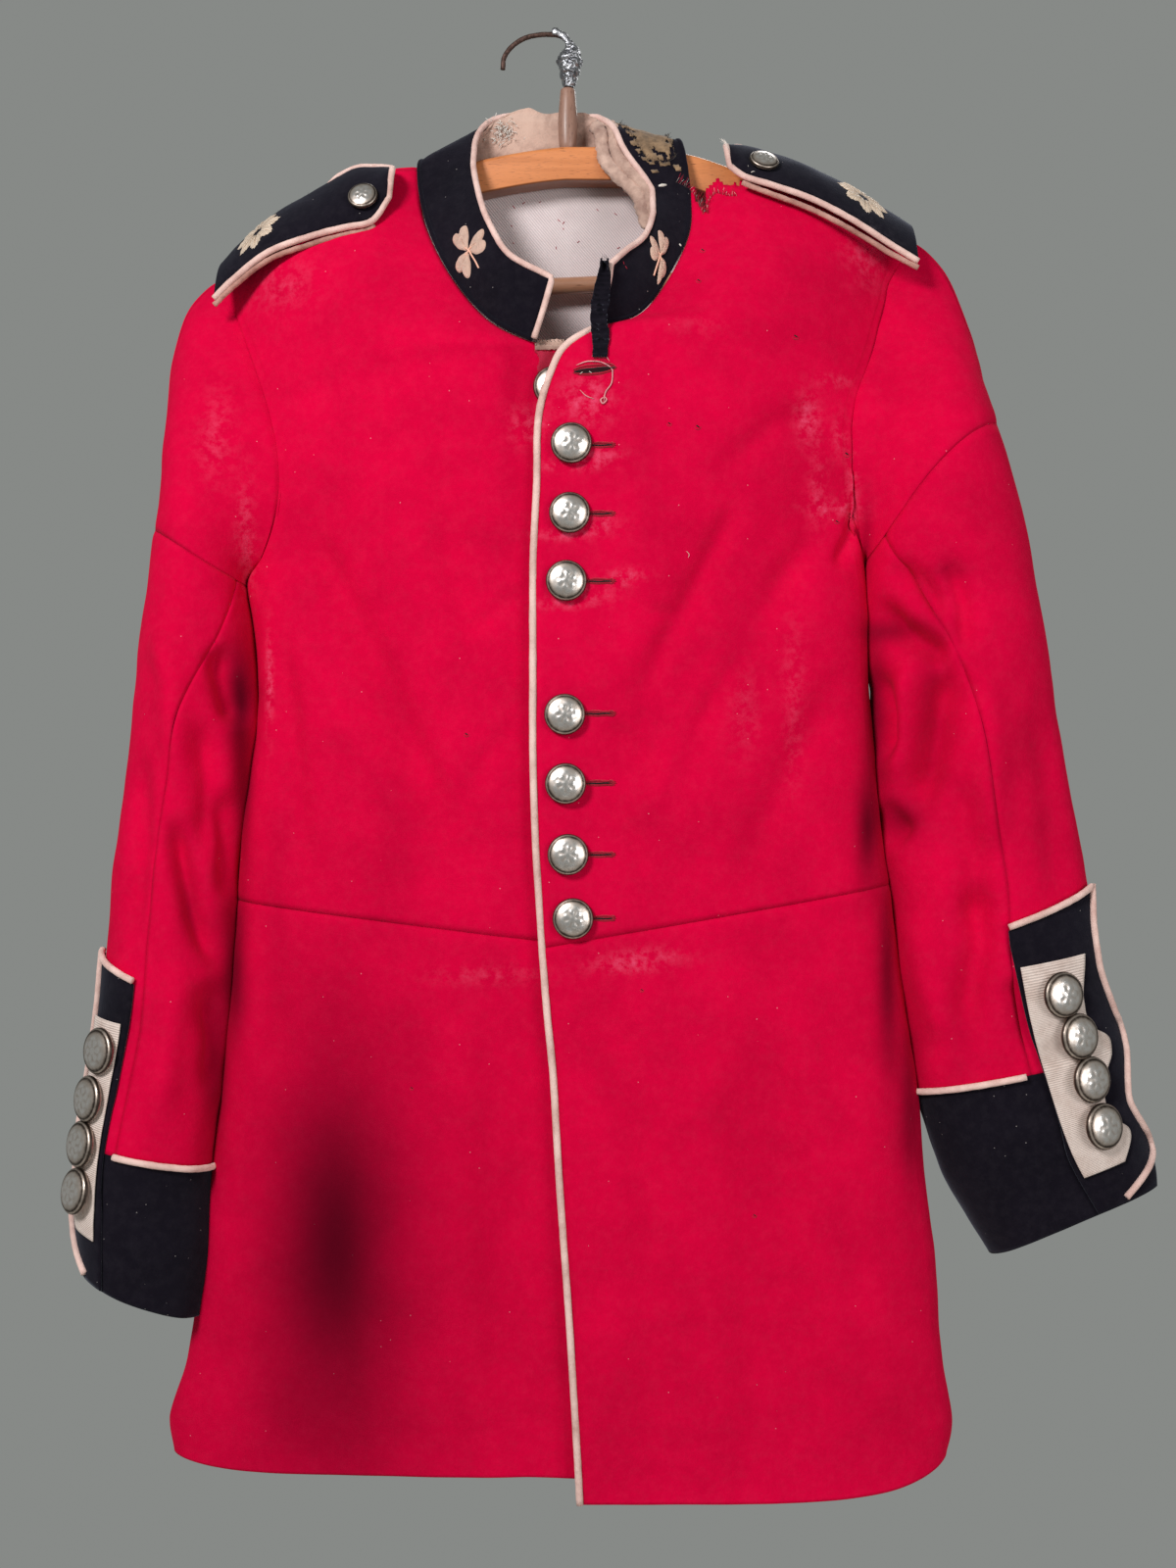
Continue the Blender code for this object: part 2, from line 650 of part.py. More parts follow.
def slash_grid(side, rows, out, columns=6):
    """Points of the slash or its face, this far out from the sleeve, rows from the rim upwards."""
    grid = []
    for k, border in enumerate(rows):
        start, end = border["start"] + SLASH_TURN[side], border["end"] + SLASH_TURN[side]
        line = []
        for j in range(columns + 1):
            turn = start + (end - start) * j / columns
            height = border["rise"]
            if rows is SLASH and k == len(rows) - 1:
                height -= SLASH_TOP_SLANT * (1 - j / columns)
            proud = border[side] * (j / columns) ** 5
            line.append(sleeve_point(side, at_rise(side, height), turn, out + proud))
        grid.append(line)
    return grid


def cuff_button_place(side, row):
    turn = row["turn"] + SLASH_TURN[side]
    at = at_rise(side, row["rise"])
    here = sleeve_point(side, at, turn, SLASH_OUT + TRIM + row[side])
    ahead = (sleeve_point(side, at, turn, 20) - here).normalized()
    return here, ahead


def build_cuffs(group):
    for side in ("left", "right"):
        inside = Vector((SLEEVE[side][7]["x"], -26, SLEEVE[side][7]["z"]))
        grid = slash_grid(side, SLASH, SLASH_OUT)
        cloth("slash_" + side, grid, inside, TRIM, "black_cloth", group, outward=True)
        face = slash_grid(side, SLASH_FACE, SLASH_OUT + TRIM + 1.2)
        cloth("slash_face_" + side, face, inside, 0.8, "white_facing", group, outward=True)
        start = SLASH[3]["start"] + SLASH_TURN[side] + 0.03
        turns = [start + (CUFF_PIPING_END - start) * k / 20 for k in range(21)]
        ring = [sleeve_point(side, CUFF_ROW, turn, PIPING + 0.5) for turn in turns]
        cord("cuff_piping_" + side, ring, PIPING, "cream_piping", group)
        border = slash_grid(side, SLASH, PIPING + 0.8)
        line = [row[-1] + (row[-1] - row[-2]).normalized() * SLASH_CLEAR for row in border]
        line += [p + Vector((0, 0, SLASH_CLEAR)) for p in border[-1][::-1]]
        cord("slash_piping_" + side, line, PIPING, "cream_piping", group)
        for number, row in enumerate(CUFF_BUTTONS, 1):
            place, ahead = cuff_button_place(side, row)
            button(f"cuff_button_{side}_{number}", place, ahead, CUFF_BUTTON, group)


def button(name, place, ahead, across, group):
    """A domed button whose flat back lies on place and whose dome looks ahead."""
    r = across / 2
    tall = across * 0.24
    dome = [(r * math.sin(a), tall * 0.3 + tall * 0.7 * math.cos(a)) for a in (0, 0.45, 0.9, 1.25)]
    profile = [(0, dome[0][1])] + dome[1:] + [(r, tall * 0.34), (r, tall * 0.12), (r * 0.86, 0), (0, 0)]
    obj = turned(name, profile, 14, "button_silver", group)
    obj.rotation_euler = ahead.to_track_quat("Z", "Y").to_euler()
    obj.location = place * MM


def build_front_buttons(group):
    for number, row in enumerate(FRONT_BUTTONS, 1):
        if number == 1:
            place = panel_at(FRONT_RIGHT, row["x"], row["z"], 1.0, UNDERLAP) + Vector((0, -3.5, 0))
        else:
            place = panel_at(FRONT_LEFT, row["x"], row["z"], 1.0) + Vector((0, -1.1, 0))
        button(f"front_button_{number}", place, Vector((0, -1, 0.03)).normalized(), FRONT_BUTTON, group)


def build_front_piping(group):
    upper = [panel_point(FRONT_LEFT, 11 - 11 * i / 14, 0) for i in range(15)]
    lower = [panel_point(SKIRT_FRONT_LEFT, 0.2 + 6.8 * i / 8, 0) for i in range(9)]
    line = [p + Vector((-FRONT_PIPING - 0.1, 0.6, 0)) for p in upper + lower]
    cord("front_piping", line, FRONT_PIPING, "cream_piping", group)


STRAP_BUTTON_AT = {"left": 1.75, "right": 1.4}
STRAP_BUTTON_ACROSS = 0.4
STRAP_BUTTON_OUT = {"left": 0.5, "right": 1.0}
STAR_AT = 4.35
STAR_RADIUS = 17.0
LEAF_REACH = 13.0
# Shoulder straps, from the tip by the neck to the sleeve: middle line, slope across and half width.
STRAP = {
    "right": table(
        "x y z slope half",
        (-101, -30.8, -102, 58, 12),
        (-111, -29.8, -109, 58, 23),
        (-127, -27.8, -111, 56, 26),
        (-150, -24.0, -119, 49, 25),
        (-177, -20.6, -131, 43, 24),
        (-200, -19, -149, 42, 24),
        (-211, -18, -160, 42, 23),
    ),
    "left": table(
        "x y z slope half",
        (114, -18, -81.6, 40, 12),
        (123, -18, -84.6, 40, 22),
        (140, -18, -89.2, 40, 24),
        (165, -18.2, -98, 40, 24),
        (190, -18, -110.4, 41, 24),
        (214, -17, -125, 42, 24),
        (232, -16, -136, 42, 23),
    ),
}


def strap_point(side, at, across, out=0.0):
    """across runs from -1 at the back edge to 1 at the front edge."""
    v = {name: column(STRAP[side], name, at) for name in ("x", "y", "z", "slope", "half")}
    slope = math.radians(v["slope"])
    bend = 5 * (1 - across * across)
    ahead = Vector((0, -math.cos(slope), -math.sin(slope)))
    up = Vector((0, -math.sin(slope), math.cos(slope)))
    return Vector((v["x"], v["y"], v["z"])) + ahead * (v["half"] * across) + up * (bend + out)


def build_straps(group):
    for side in ("left", "right"):
        last = len(STRAP[side]) - 1
        grid = [[strap_point(side, last * i / 10, j / 2 - 1) for j in range(5)] for i in range(11)]
        under = Vector((STRAP[side][3]["x"], 10, -180))
        cloth("strap_" + side, grid, under, 3.0, "black_cloth", group)
        steps = [last * i / 10 for i in range(11)]
        edge = [(at, -1) for at in steps[::-1]] + [(0, 0)] + [(at, 1) for at in steps]
        line = []
        for at, across in edge:
            p = strap_point(side, at, across, -1.2)
            away = p - strap_point(side, at if across else at + 0.3, across * 0.9 if across else 0, -1.2)
            line.append(p + away.normalized() * (PIPING + (4.8 if at < 1.5 else 1.8)))
        cord("strap_piping_" + side, line, PIPING, "cream_piping", group)
        at, across = STRAP_BUTTON_AT[side], STRAP_BUTTON_ACROSS
        run = strap_point(side, at + 0.1, across) - strap_point(side, at - 0.1, across)
        width = strap_point(side, at, across + 0.05) - strap_point(side, at, across - 0.05)
        ahead = run.cross(width).normalized() * -OUTWARD[side]
        place = strap_point(side, at, across) + ahead * STRAP_BUTTON_OUT[side]
        button("strap_button_" + side, place, ahead, STRAP_BUTTON, group)
        star(side, group)


def motif(name, place, radius, count, thick, group):
    """A raised stitched shape: place(right, up, out) gives its points, radius(angle) its outline."""
    bm = bmesh.new()
    rims = []
    for share, height in ((1.0, 0.0), (1.0, thick * 0.4), (0.45, thick)):
        rim = []
        for k in range(count):
            a = 2 * math.pi * k / count
            r = radius(a) * share
            rim.append(bm.verts.new(place(r * math.cos(a), r * math.sin(a), height) * MM))
        rims.append(rim)
    low, high = bm.verts.new(place(0, 0, 0) * MM), bm.verts.new(place(0, 0, thick) * MM)
    for k in range(count):
        n = (k + 1) % count
        for lower, upper in zip(rims, rims[1:]):
            bm.faces.new((lower[k], lower[n], upper[n], upper[k]))
        bm.faces.new((rims[0][n], rims[0][k], low))
        bm.faces.new((rims[-1][k], rims[-1][n], high))
    bmesh.ops.recalc_face_normals(bm, faces=bm.faces[:])
    return add_object(name, mesh_from(name, bm), "embroidery", group)


def star(side, group):
    rows = STRAP[side]
    per_row = (Vector([rows[4][a] for a in "xyz"]) - Vector([rows[3][a] for a in "xyz"])).length

    def place(right, up, out):
        return strap_point(side, STAR_AT + right / per_row, up / rows[4]["half"], out + 0.9)

    def radius(a):
        return STAR_RADIUS if round(a / (math.pi / 8)) % 2 == 0 else STAR_RADIUS * 0.55

    motif("star_" + side, place, radius, 16, 1.4, group)


def build_leaves(group):
    for side, middle in (("right", 2.05), ("left", 15.35)):
        per_row = (collar_point(middle + 0.5, 0.5) - collar_point(middle - 0.5, 0.5)).length
        tall = (collar_point(middle, 1) - collar_point(middle, 0)).length

        def place(right, up, out):
            return collar_point(middle + right / per_row, 0.5 + up / tall, out + 1.0)

        def radius(a):
            return 2.0 + (LEAF_REACH - 2) * abs(math.cos(1.5 * (a - math.pi / 2))) ** 0.6

        motif("leaf_" + side, place, radius, 18, 1.4, group)


BOARD = table(
    "x z tall",
    (-192, -153, 24),
    (-168, -137, 23),
    (-131, -116, 22),
    (-84, -94, 22),
    (-42, -81, 22),
    (10, -73, 22),
    (60, -74, 22),
    (87, -77.6, 22),
    (114, -86, 22),
    (150, -100.6, 22),
    (182, -118.6, 23),
    (204, -133.6, 24),
)
BOARD_HALF = 8.5
BAR_RADIUS = 5.3
NECK_X = 11.0


def build_hanger(group):
    bm = bmesh.new()
    rings = []
    for i in range(15):
        at = 11 * i / 14
        x, top, tall = (column(BOARD, name, at) for name in ("x", "z", "tall"))
        corners = (
            (-BOARD_HALF, -3),
            (-BOARD_HALF + 3, 0),
            (BOARD_HALF - 3, 0),
            (BOARD_HALF, -3),
            (BOARD_HALF, -tall),
            (-BOARD_HALF, -tall),
        )
        rings.append([bm.verts.new(Vector((x, y, top + z)) * MM) for y, z in corners])
    for a, b in zip(rings, rings[1:]):
        for k in range(6):
            n = (k + 1) % 6
            bm.faces.new((a[k], a[n], b[n], b[k]))
    bm.faces.new(rings[0])
    bm.faces.new(rings[-1])
    bmesh.ops.recalc_face_normals(bm, faces=bm.faces[:])
    board = add_object("hanger_board", mesh_from("hanger_board", bm), "beech", group)
    ends = (Vector((-188, 0, -168)), Vector((200, 0, -152)))
    rod = bmesh.new()
    length = (ends[1] - ends[0]).length * MM
    bmesh.ops.create_cone(
        rod, cap_ends=True, segments=14, radius1=BAR_RADIUS * MM, radius2=BAR_RADIUS * MM, depth=length
    )
    turn = (ends[1] - ends[0]).to_track_quat("Z", "Y").to_matrix().to_4x4()
    middle = Matrix.Translation((ends[0] + ends[1]) / 2 * MM)
    bmesh.ops.transform(rod, matrix=middle @ turn, verts=rod.verts[:])
    tools = bpy.data.collections.new("cutters")
    bpy.context.scene.collection.children.link(tools)
    bar = add_object("bar_shape", mesh_from("bar_shape", rod), "beech", tools)
    bar.hide_render = True
    bar.display_type = "WIRE"
    join = board.modifiers.new("bar", "BOOLEAN")
    join.operation = "UNION"
    join.solver = "EXACT"
    join.object = bar
    peg = [(0, 0), (4.4, 0), (4.8, -1.5), (6.3, -22), (5.6, -36), (4.6, -39.8), (0, -39.8)]
    neck = turned("hanger_neck", peg, 16, "turned_wood", group)
    neck.location = Vector((NECK_X, 0, -33.6)) * MM
    hook = [
        (-31, 0, -21),
        (-30, 0, -13),
        (-25, 0, -6),
        (-17, 0, -0.8),
        (-8, 0, 1.4),
        (0, 0, 1.7),
        (7, 0, 0.4),
        (13, 0, -4),
        (17, 0, -11),
        (14, 0, -21),
        (11.4, 0, -33.2),
    ]
    cord("hanger_hook", smooth_line(hook, 20), 1.6, "rusty_wire", group)
    build_binding(group)


def build_binding(group):
    """The wire and foil wound round the hook's shank, as one lumpy wall round it."""
    foot, head = Vector((11.6, 0, -32.6)), Vector((16.6, 0, -12.6))
    rings = []
    lumps = (3.4, 5.2, 4.0, 5.8, 6.6, 4.8, 5.4, 3.6)
    axis = (head - foot).normalized()
    side = axis.cross(Vector((0, 1, 0))).normalized()
    for i, reach in enumerate(lumps):
        middle = foot.lerp(head, i / (len(lumps) - 1)) + Vector((-1.2 * math.sin(math.pi * i / 7), 0, 0))
        ring = []
        for k in range(10):
            a = 2 * math.pi * k / 10
            r = reach * (1 + 0.16 * math.sin(3 * a + i * 1.7))
            ring.append(middle + (side * math.cos(a) + Vector((0, 1, 0)) * math.sin(a)) * r)
        rings.append(ring)
    for i in (len(lumps) - 1, 0):
        middle = foot.lerp(head, i / (len(lumps) - 1))
        ring = []
        for k in range(10):
            a = 2 * math.pi * k / 10
            ring.append(middle + (side * math.cos(a) + Vector((0, 1, 0)) * math.sin(a)) * 2.6)
        rings.append(ring)
    rings.append(rings[0])
    bm = bmesh.new()
    points = [[bm.verts.new(p * MM) for p in ring] for ring in rings[:-1]]
    points.append(points[0])
    for a, b in zip(points, points[1:]):
        for k in range(10):
            n = (k + 1) % 10
            bm.faces.new((a[k], a[n], b[n], b[k]))
    bmesh.ops.recalc_face_normals(bm, faces=bm.faces[:])
    add_object("hanger_binding", mesh_from("hanger_binding", bm), "binding_foil", group)


# The torn place on the wearer's left shoulder, as an outline in X and Z that is cut through front and back.
TEAR = (
    (84, -60),
    (84, -92),
    (90, -99),
    (93, -117),
    (97, -125),
    (100, -104),
    (106, -100),
    (113, -103),
    (121, -104),
    (124, -60),
)


def cut_tear(group):
    tools = bpy.data.collections["cutters"]
    bm = bmesh.new()
    faces = [bm.faces.new([bm.verts.new(Vector((x, -70, z)) * MM) for x, z in TEAR])]
    grown = bmesh.ops.extrude_face_region(bm, geom=faces)
    moved = [item for item in grown["geom"] if isinstance(item, bmesh.types.BMVert)]
    bmesh.ops.translate(bm, vec=Vector((0, 110, 0)) * MM, verts=moved)
    bmesh.ops.recalc_face_normals(bm, faces=bm.faces[:])
    shape = add_object("tear_shape", mesh_from("tear_shape", bm), "scarlet_cloth", tools)
    shape.hide_render = True
    shape.display_type = "WIRE"
    for name in ("front_left", "back_left"):
        cut = group.objects[name].modifiers.new("tear", "BOOLEAN")
        cut.operation = "DIFFERENCE"
        cut.solver = "EXACT"
        cut.object = shape


def main():
    for obj in list(bpy.data.objects):
        bpy.data.objects.remove(obj)
    group = bpy.data.collections.new("military_tunic")
    bpy.context.scene.collection.children.link(group)
    build_hanger(group)
    build_body(group)
    build_collar(group)
    build_leaves(group)
    build_sleeves(group)
    build_cuffs(group)
    build_straps(group)
    build_front_piping(group)
    build_front_buttons(group)
    cut_tear(group)


main()
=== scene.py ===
import math
import random

import bmesh
import bpy
from mathutils import Matrix, Vector, noise
from mathutils.bvhtree import BVHTree


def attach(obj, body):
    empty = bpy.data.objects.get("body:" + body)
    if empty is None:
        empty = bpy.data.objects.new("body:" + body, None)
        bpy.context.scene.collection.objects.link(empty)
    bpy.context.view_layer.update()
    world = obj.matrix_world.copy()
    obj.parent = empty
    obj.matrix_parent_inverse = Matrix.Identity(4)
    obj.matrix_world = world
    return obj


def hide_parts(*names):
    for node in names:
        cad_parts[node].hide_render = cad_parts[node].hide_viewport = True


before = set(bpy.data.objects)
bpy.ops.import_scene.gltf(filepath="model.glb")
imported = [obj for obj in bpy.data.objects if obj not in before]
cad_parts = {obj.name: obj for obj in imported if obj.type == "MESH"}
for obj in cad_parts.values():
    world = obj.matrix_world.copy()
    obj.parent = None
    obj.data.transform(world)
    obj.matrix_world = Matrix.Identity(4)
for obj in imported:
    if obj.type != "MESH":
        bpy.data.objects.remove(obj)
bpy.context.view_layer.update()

mm = 0.001
body = "root"
chance = random.Random(11)


# small helpers

def rowTable(columns, *rows):
    names = columns.split()
    return [dict(zip(names, row)) for row in rows]


# the value of a named column at a fractional row, on a smooth curve through the rows
def between(rows, name, at):
    last = len(rows) - 1
    k = min(max(int(at), 0), last - 1)
    t = at - k
    a, b = rows[k][name], rows[k + 1][name]
    before = rows[k - 1][name] if k > 0 else 2 * a - b
    after = rows[k + 2][name] if k + 2 <= last else 2 * b - a
    m0, m1 = (b - before) / 2, (after - a) / 2
    if (b - a) * m0 <= 0:
        m0 = 0
    if (b - a) * m1 <= 0:
        m1 = 0
    s = 1 - t
    return (1 + 2 * t) * s * s * a + t * s * s * m0 + t * t * (3 - 2 * t) * b - t * t * s * m1


remembered = {}


def along(rows, name, at):
    key = (id(rows), name, round(at, 4))
    if key not in remembered:
        remembered[key] = between(rows, name, at)
    return remembered[key]


def smoothLine(points, count):
    rows = [dict(zip("xyz", p)) for p in points]
    last = len(rows) - 1
    return [Vector([between(rows, axis, last * i / count) for axis in "xyz"]) for i in range(count + 1)]


def soft(value):
    value = min(max(value, 0), 1)
    return value * value * (3 - 2 * value)


def rough(x, y, z, size):
    return noise.noise(Vector((x, y, z)) / size)


# how deep a place lies in a list of creases, each a line in X and Z with its depth and half width
def creaseDepth(lines, x, z):
    total = 0.0
    for line in lines:
        best, share = 1e9, 0
        count = len(line["line"]) - 1
        for k, (a, b) in enumerate(zip(line["line"], line["line"][1:])):
            dx, dz = b[0] - a[0], b[1] - a[1]
            t = min(max(((x - a[0]) * dx + (z - a[1]) * dz) / (dx * dx + dz * dz), 0), 1)
            d = math.hypot(x - a[0] - dx * t, z - a[1] - dz * t)
            if d < best:
                best, share = d, (k + t) / count
        if best < line["wide"] * 2.6:
            fade = soft(min(share, 1 - share) * 3.5 + line.get("blunt", 0.0))
            total += line["deep"] * math.exp(-((best / line["wide"]) ** 2)) * fade
    return total


# materials

def srgb(text):
    parts = [int(text[i:i + 2], 16) / 255 for i in (1, 3, 5)]
    return (*[c / 12.92 if c <= 0.04045 else ((c + 0.055) / 1.055) ** 2.4 for c in parts], 1.0)


def addNode(tree, kind, settings=None, links=None):
    node = tree.nodes.new("ShaderNode" + kind)
    for name, value in (settings or {}).items():
        if isinstance(name, int) or name in node.inputs:
            node.inputs[name].default_value = value
        else:
            setattr(node, name, value)
    for name, source in (links or {}).items():
        tree.links.new(source, node.inputs[name])
    return node


def newMaterial(name, **settings):
    made = bpy.data.materials.new(name)
    made.use_nodes = True
    shader = made.node_tree.nodes["Principled BSDF"]
    for socket, value in settings.items():
        shader.inputs[socket.replace("_", " ")].default_value = value
    return made, made.node_tree, shader


def colourRamp(tree, factor, stops):
    ramp = addNode(tree, "ValToRGB", None, {"Fac": factor})
    ramp.color_ramp.elements[0].position, ramp.color_ramp.elements[0].color = stops[0]
    ramp.color_ramp.elements[1].position, ramp.color_ramp.elements[1].color = stops[-1]
    for position, value in stops[1:-1]:
        ramp.color_ramp.elements.new(position).color = value
    return ramp.outputs["Color"]


# each look's 'dark' colour is painted shade, mixed in by the 'dark' mark
woolLook = {
    "scarlet": {"base": "#DC003C", "deep": "#BE0032", "pale": "#E04468", "speck": "#F0A7B4", "lint": 0.12,
                "sheen": 0.03, "tint": "#FF8090", "dark": "#38000F"},
    "black": {"base": "#16121B", "deep": "#0E0B12", "pale": "#565058", "speck": "#B0A8A4", "lint": 0.5,
              "sheen": 0.35, "tint": "#8A8FA0", "dark": "#050508"},
}


# milled wool broadcloth: the fibre nap hides its weave, so the eye sees a matt, slightly mottled cloth
# with lint on it, paler where it is rubbed
def woolCloth(name, look):
    made, tree, shader = newMaterial(name, Roughness=0.92, Sheen_Weight=look["sheen"], Sheen_Roughness=0.45,
                                     Sheen_Tint=srgb(look["tint"]), Specular_IOR_Level=0.05)
    place = addNode(tree, "TexCoord").outputs["Object"]
    worn = addNode(tree, "Attribute", {"attribute_name": "worn"}).outputs["Fac"]
    dark = addNode(tree, "Attribute", {"attribute_name": "dark"}).outputs["Fac"]
    cloud = addNode(tree, "TexNoise", {"Scale": 22.0, "Detail": 4.0, "Roughness": 0.6}, {"Vector": place})
    fleck = addNode(tree, "TexNoise", {"Scale": 420.0, "Detail": 3.0, "Roughness": 0.7}, {"Vector": place})
    nap = addNode(tree, "TexNoise", {"Scale": 1400.0, "Detail": 2.0}, {"Vector": place})
    blend = addNode(tree, "Math", {"operation": "MULTIPLY_ADD", 1: 0.45},
                    {0: fleck.outputs["Fac"], 2: cloud.outputs["Fac"]})
    base = colourRamp(tree, blend.outputs[0], [(0.35, srgb(look["deep"])), (0.95, srgb(look["base"]))])
    # rubbed and pilled cloth breaks up into small pale tufts
    tuft = addNode(tree, "TexNoise", {"Scale": 150.0, "Detail": 6.0, "Roughness": 0.72}, {"Vector": place})
    high = addNode(tree, "Math", {"operation": "SUBTRACT", 1: 0.44}, {0: tuft.outputs["Fac"]})
    rub = addNode(tree, "Math", {"operation": "MULTIPLY", "use_clamp": True},
                  {0: addNode(tree, "Math", {"operation": "MULTIPLY", 1: 7.0},
                              {0: high.outputs[0]}).outputs[0], 1: worn})
    paler = addNode(tree, "Mix", {"data_type": "RGBA", 7: srgb(look["pale"])},
                    {0: rub.outputs[0], 6: base})
    # lint and dust: about one cell in eight of a 6 mm pattern holds a speck near 0.7 mm across
    cells = addNode(tree, "TexVoronoi", {"Scale": 165.0}, {"Vector": place})
    near = addNode(tree, "Math", {"operation": "LESS_THAN", 1: 0.055}, {0: cells.outputs["Distance"]})
    pick = addNode(tree, "SeparateColor", None, {"Color": cells.outputs["Color"]})
    few = addNode(tree, "Math", {"operation": "LESS_THAN", 1: look["lint"]}, {0: pick.outputs["Red"]})
    speck = addNode(tree, "Math", {"operation": "MULTIPLY"}, {0: near.outputs[0], 1: few.outputs[0]})
    faint = addNode(tree, "Math", {"operation": "MULTIPLY", 1: 0.55}, {0: speck.outputs[0]})
    linted = addNode(tree, "Mix", {"data_type": "RGBA", 7: srgb(look["speck"])},
                     {0: faint.outputs[0], 6: paler.outputs[2]})
    # painted shade: the 'dark' mark mixes the dark colour in, as shade in the creases beside the sleeves and
    # in folds, and as a painted shadow on the wearer's right skirt
    shade = addNode(tree, "Math", {"operation": "MULTIPLY", 1: 0.95, "use_clamp": True}, {0: dark})
    final = addNode(tree, "Mix", {"data_type": "RGBA", 7: srgb(look["dark"])},
                    {0: shade.outputs[0], 6: linted.outputs[2]})
    tree.links.new(final.outputs[2], shader.inputs["Base Color"])
    lift = addNode(tree, "Math", {"operation": "MULTIPLY_ADD", 1: 0.5},
                   {0: nap.outputs["Fac"], 2: fleck.outputs["Fac"]})
    lift = addNode(tree, "Math", {"operation": "ADD"}, {0: lift.outputs[0], 1: rub.outputs[0]})
    bump = addNode(tree, "Bump", {"Strength": 0.35, "Distance": 0.0006}, {"Height": lift.outputs[0]})
    tree.links.new(bump.outputs["Normal"], shader.inputs["Normal"])
    return made


scarletWool = woolCloth("scarlet milled wool broadcloth", woolLook["scarlet"])
blackWool = woolCloth("blue-black milled facing wool", woolLook["black"])


# a soft cloth whose colour wanders between a clean and a soiled tone, with a fine ribbed or fuzzy face
def paleCloth(name, clean, soiled, rib=0.0, angle=0.0, fuzz=0.5, patches=18.0, low=0.35, high=0.7):
    made, tree, shader = newMaterial(name, Roughness=0.95, Sheen_Weight=0.15, Sheen_Roughness=0.6,
                                     Specular_IOR_Level=0.12)
    place = addNode(tree, "TexCoord").outputs["Object"]
    dirt = addNode(tree, "TexNoise", {"Scale": patches, "Detail": 6.0, "Roughness": 0.65}, {"Vector": place})
    tone = colourRamp(tree, dirt.outputs["Fac"], [(low, srgb(soiled)), (high, srgb(clean))])
    fibre = addNode(tree, "TexNoise", {"Scale": 900.0, "Detail": 3.0, "Roughness": 0.7}, {"Vector": place})
    height = fibre.outputs["Fac"]
    colour = tone
    if rib:  # ribs follow the piece's own map, which is in millimetres
        uv = addNode(tree, "UVMap", {"uv_map": "cloth"}).outputs["UV"]
        turned = addNode(tree, "Mapping", None, {"Vector": uv})
        turned.inputs["Rotation"].default_value = (0, 0, math.radians(angle))
        wave = addNode(tree, "TexWave", {"Scale": 1.0 / rib / 3.14, "Distortion": 0.6, "Detail": 1.0,
                                                   "Detail Scale": 2.0}, {"Vector": turned.outputs["Vector"]})
        height = addNode(tree, "Math", {"operation": "MULTIPLY_ADD", 1: 0.35},
                         {0: fibre.outputs["Fac"], 2: wave.outputs["Fac"]}).outputs[0]
        # painted shade: the colour is darker in the rib grooves
        grooveShade = addNode(tree, "Math", {"operation": "MULTIPLY_ADD", 1: 0.26, 2: 0.74},
                          {0: wave.outputs["Fac"]})
        colour = addNode(tree, "VectorMath", {"operation": "SCALE"},
                         {0: tone, 3: grooveShade.outputs[0]}).outputs[0]
    tree.links.new(colour, shader.inputs["Base Color"])
    bump = addNode(tree, "Bump", {"Strength": fuzz, "Distance": 0.0006}, {"Height": height})
    tree.links.new(bump.outputs["Normal"], shader.inputs["Normal"])
    return made


fadedPiping = paleCloth("pinkish worn underlayer wool", "#D9A79A", "#9A6A5E", fuzz=0.9, patches=60)
creamPiping = paleCloth("cream wool piping, soiled by handling", "#F0CCC2", "#C4988E", fuzz=0.8, patches=60,
                        low=0.25, high=0.6)
collarLining = paleCloth("cream cotton collar lining, sweat stained", "#D4B2A2", "#86645A", fuzz=0.7,
                         patches=34, low=0.35, high=0.6)
whiteTwill = paleCloth("white cotton twill lining", "#FAEAEA", "#E4D2D2", rib=1.5, angle=40, fuzz=0.5,
                       patches=14)
ribbedWhite = paleCloth("ribbed off-white wool slash cloth", "#F2DED4", "#D2B8AC", rib=1.3, angle=90,
                        fuzz=0.6, patches=60, low=0.25, high=0.55)
canvasCloth = paleCloth("frayed beige hair canvas", "#A88868", "#5E4A38", fuzz=0.9, patches=120)
fadedWool = paleCloth("faded pink facing wool", "#C02848", "#A4102F", fuzz=0.7, patches=90)


def satinThread(name, pale, deep):
    # satin stitch: parallel shiny floss, with a groove between threads; the colour is painted darker in the
    # grooves as shade
    made, tree, shader = newMaterial(name, Roughness=0.55, Sheen_Weight=0.2, Specular_IOR_Level=0.35)
    uv = addNode(tree, "UVMap", {"uv_map": "cloth"}).outputs["UV"]
    wave = addNode(tree, "TexWave", {"Scale": 0.5, "Distortion": 0.8, "Detail": 1.0}, {"Vector": uv})
    tone = colourRamp(tree, wave.outputs["Fac"], [(0.1, srgb(deep)), (0.7, srgb(pale))])
    tree.links.new(tone, shader.inputs["Base Color"])
    bump = addNode(tree, "Bump", {"Strength": 0.7, "Distance": 0.0005}, {"Height": wave.outputs["Fac"]})
    tree.links.new(bump.outputs["Normal"], shader.inputs["Normal"])
    return made


leafThread = satinThread("peach silk satin stitch", "#FFDCC8", "#F0B8A0")
starThread = satinThread("straw silk satin stitch", "#F2DFCB", "#C4A488")


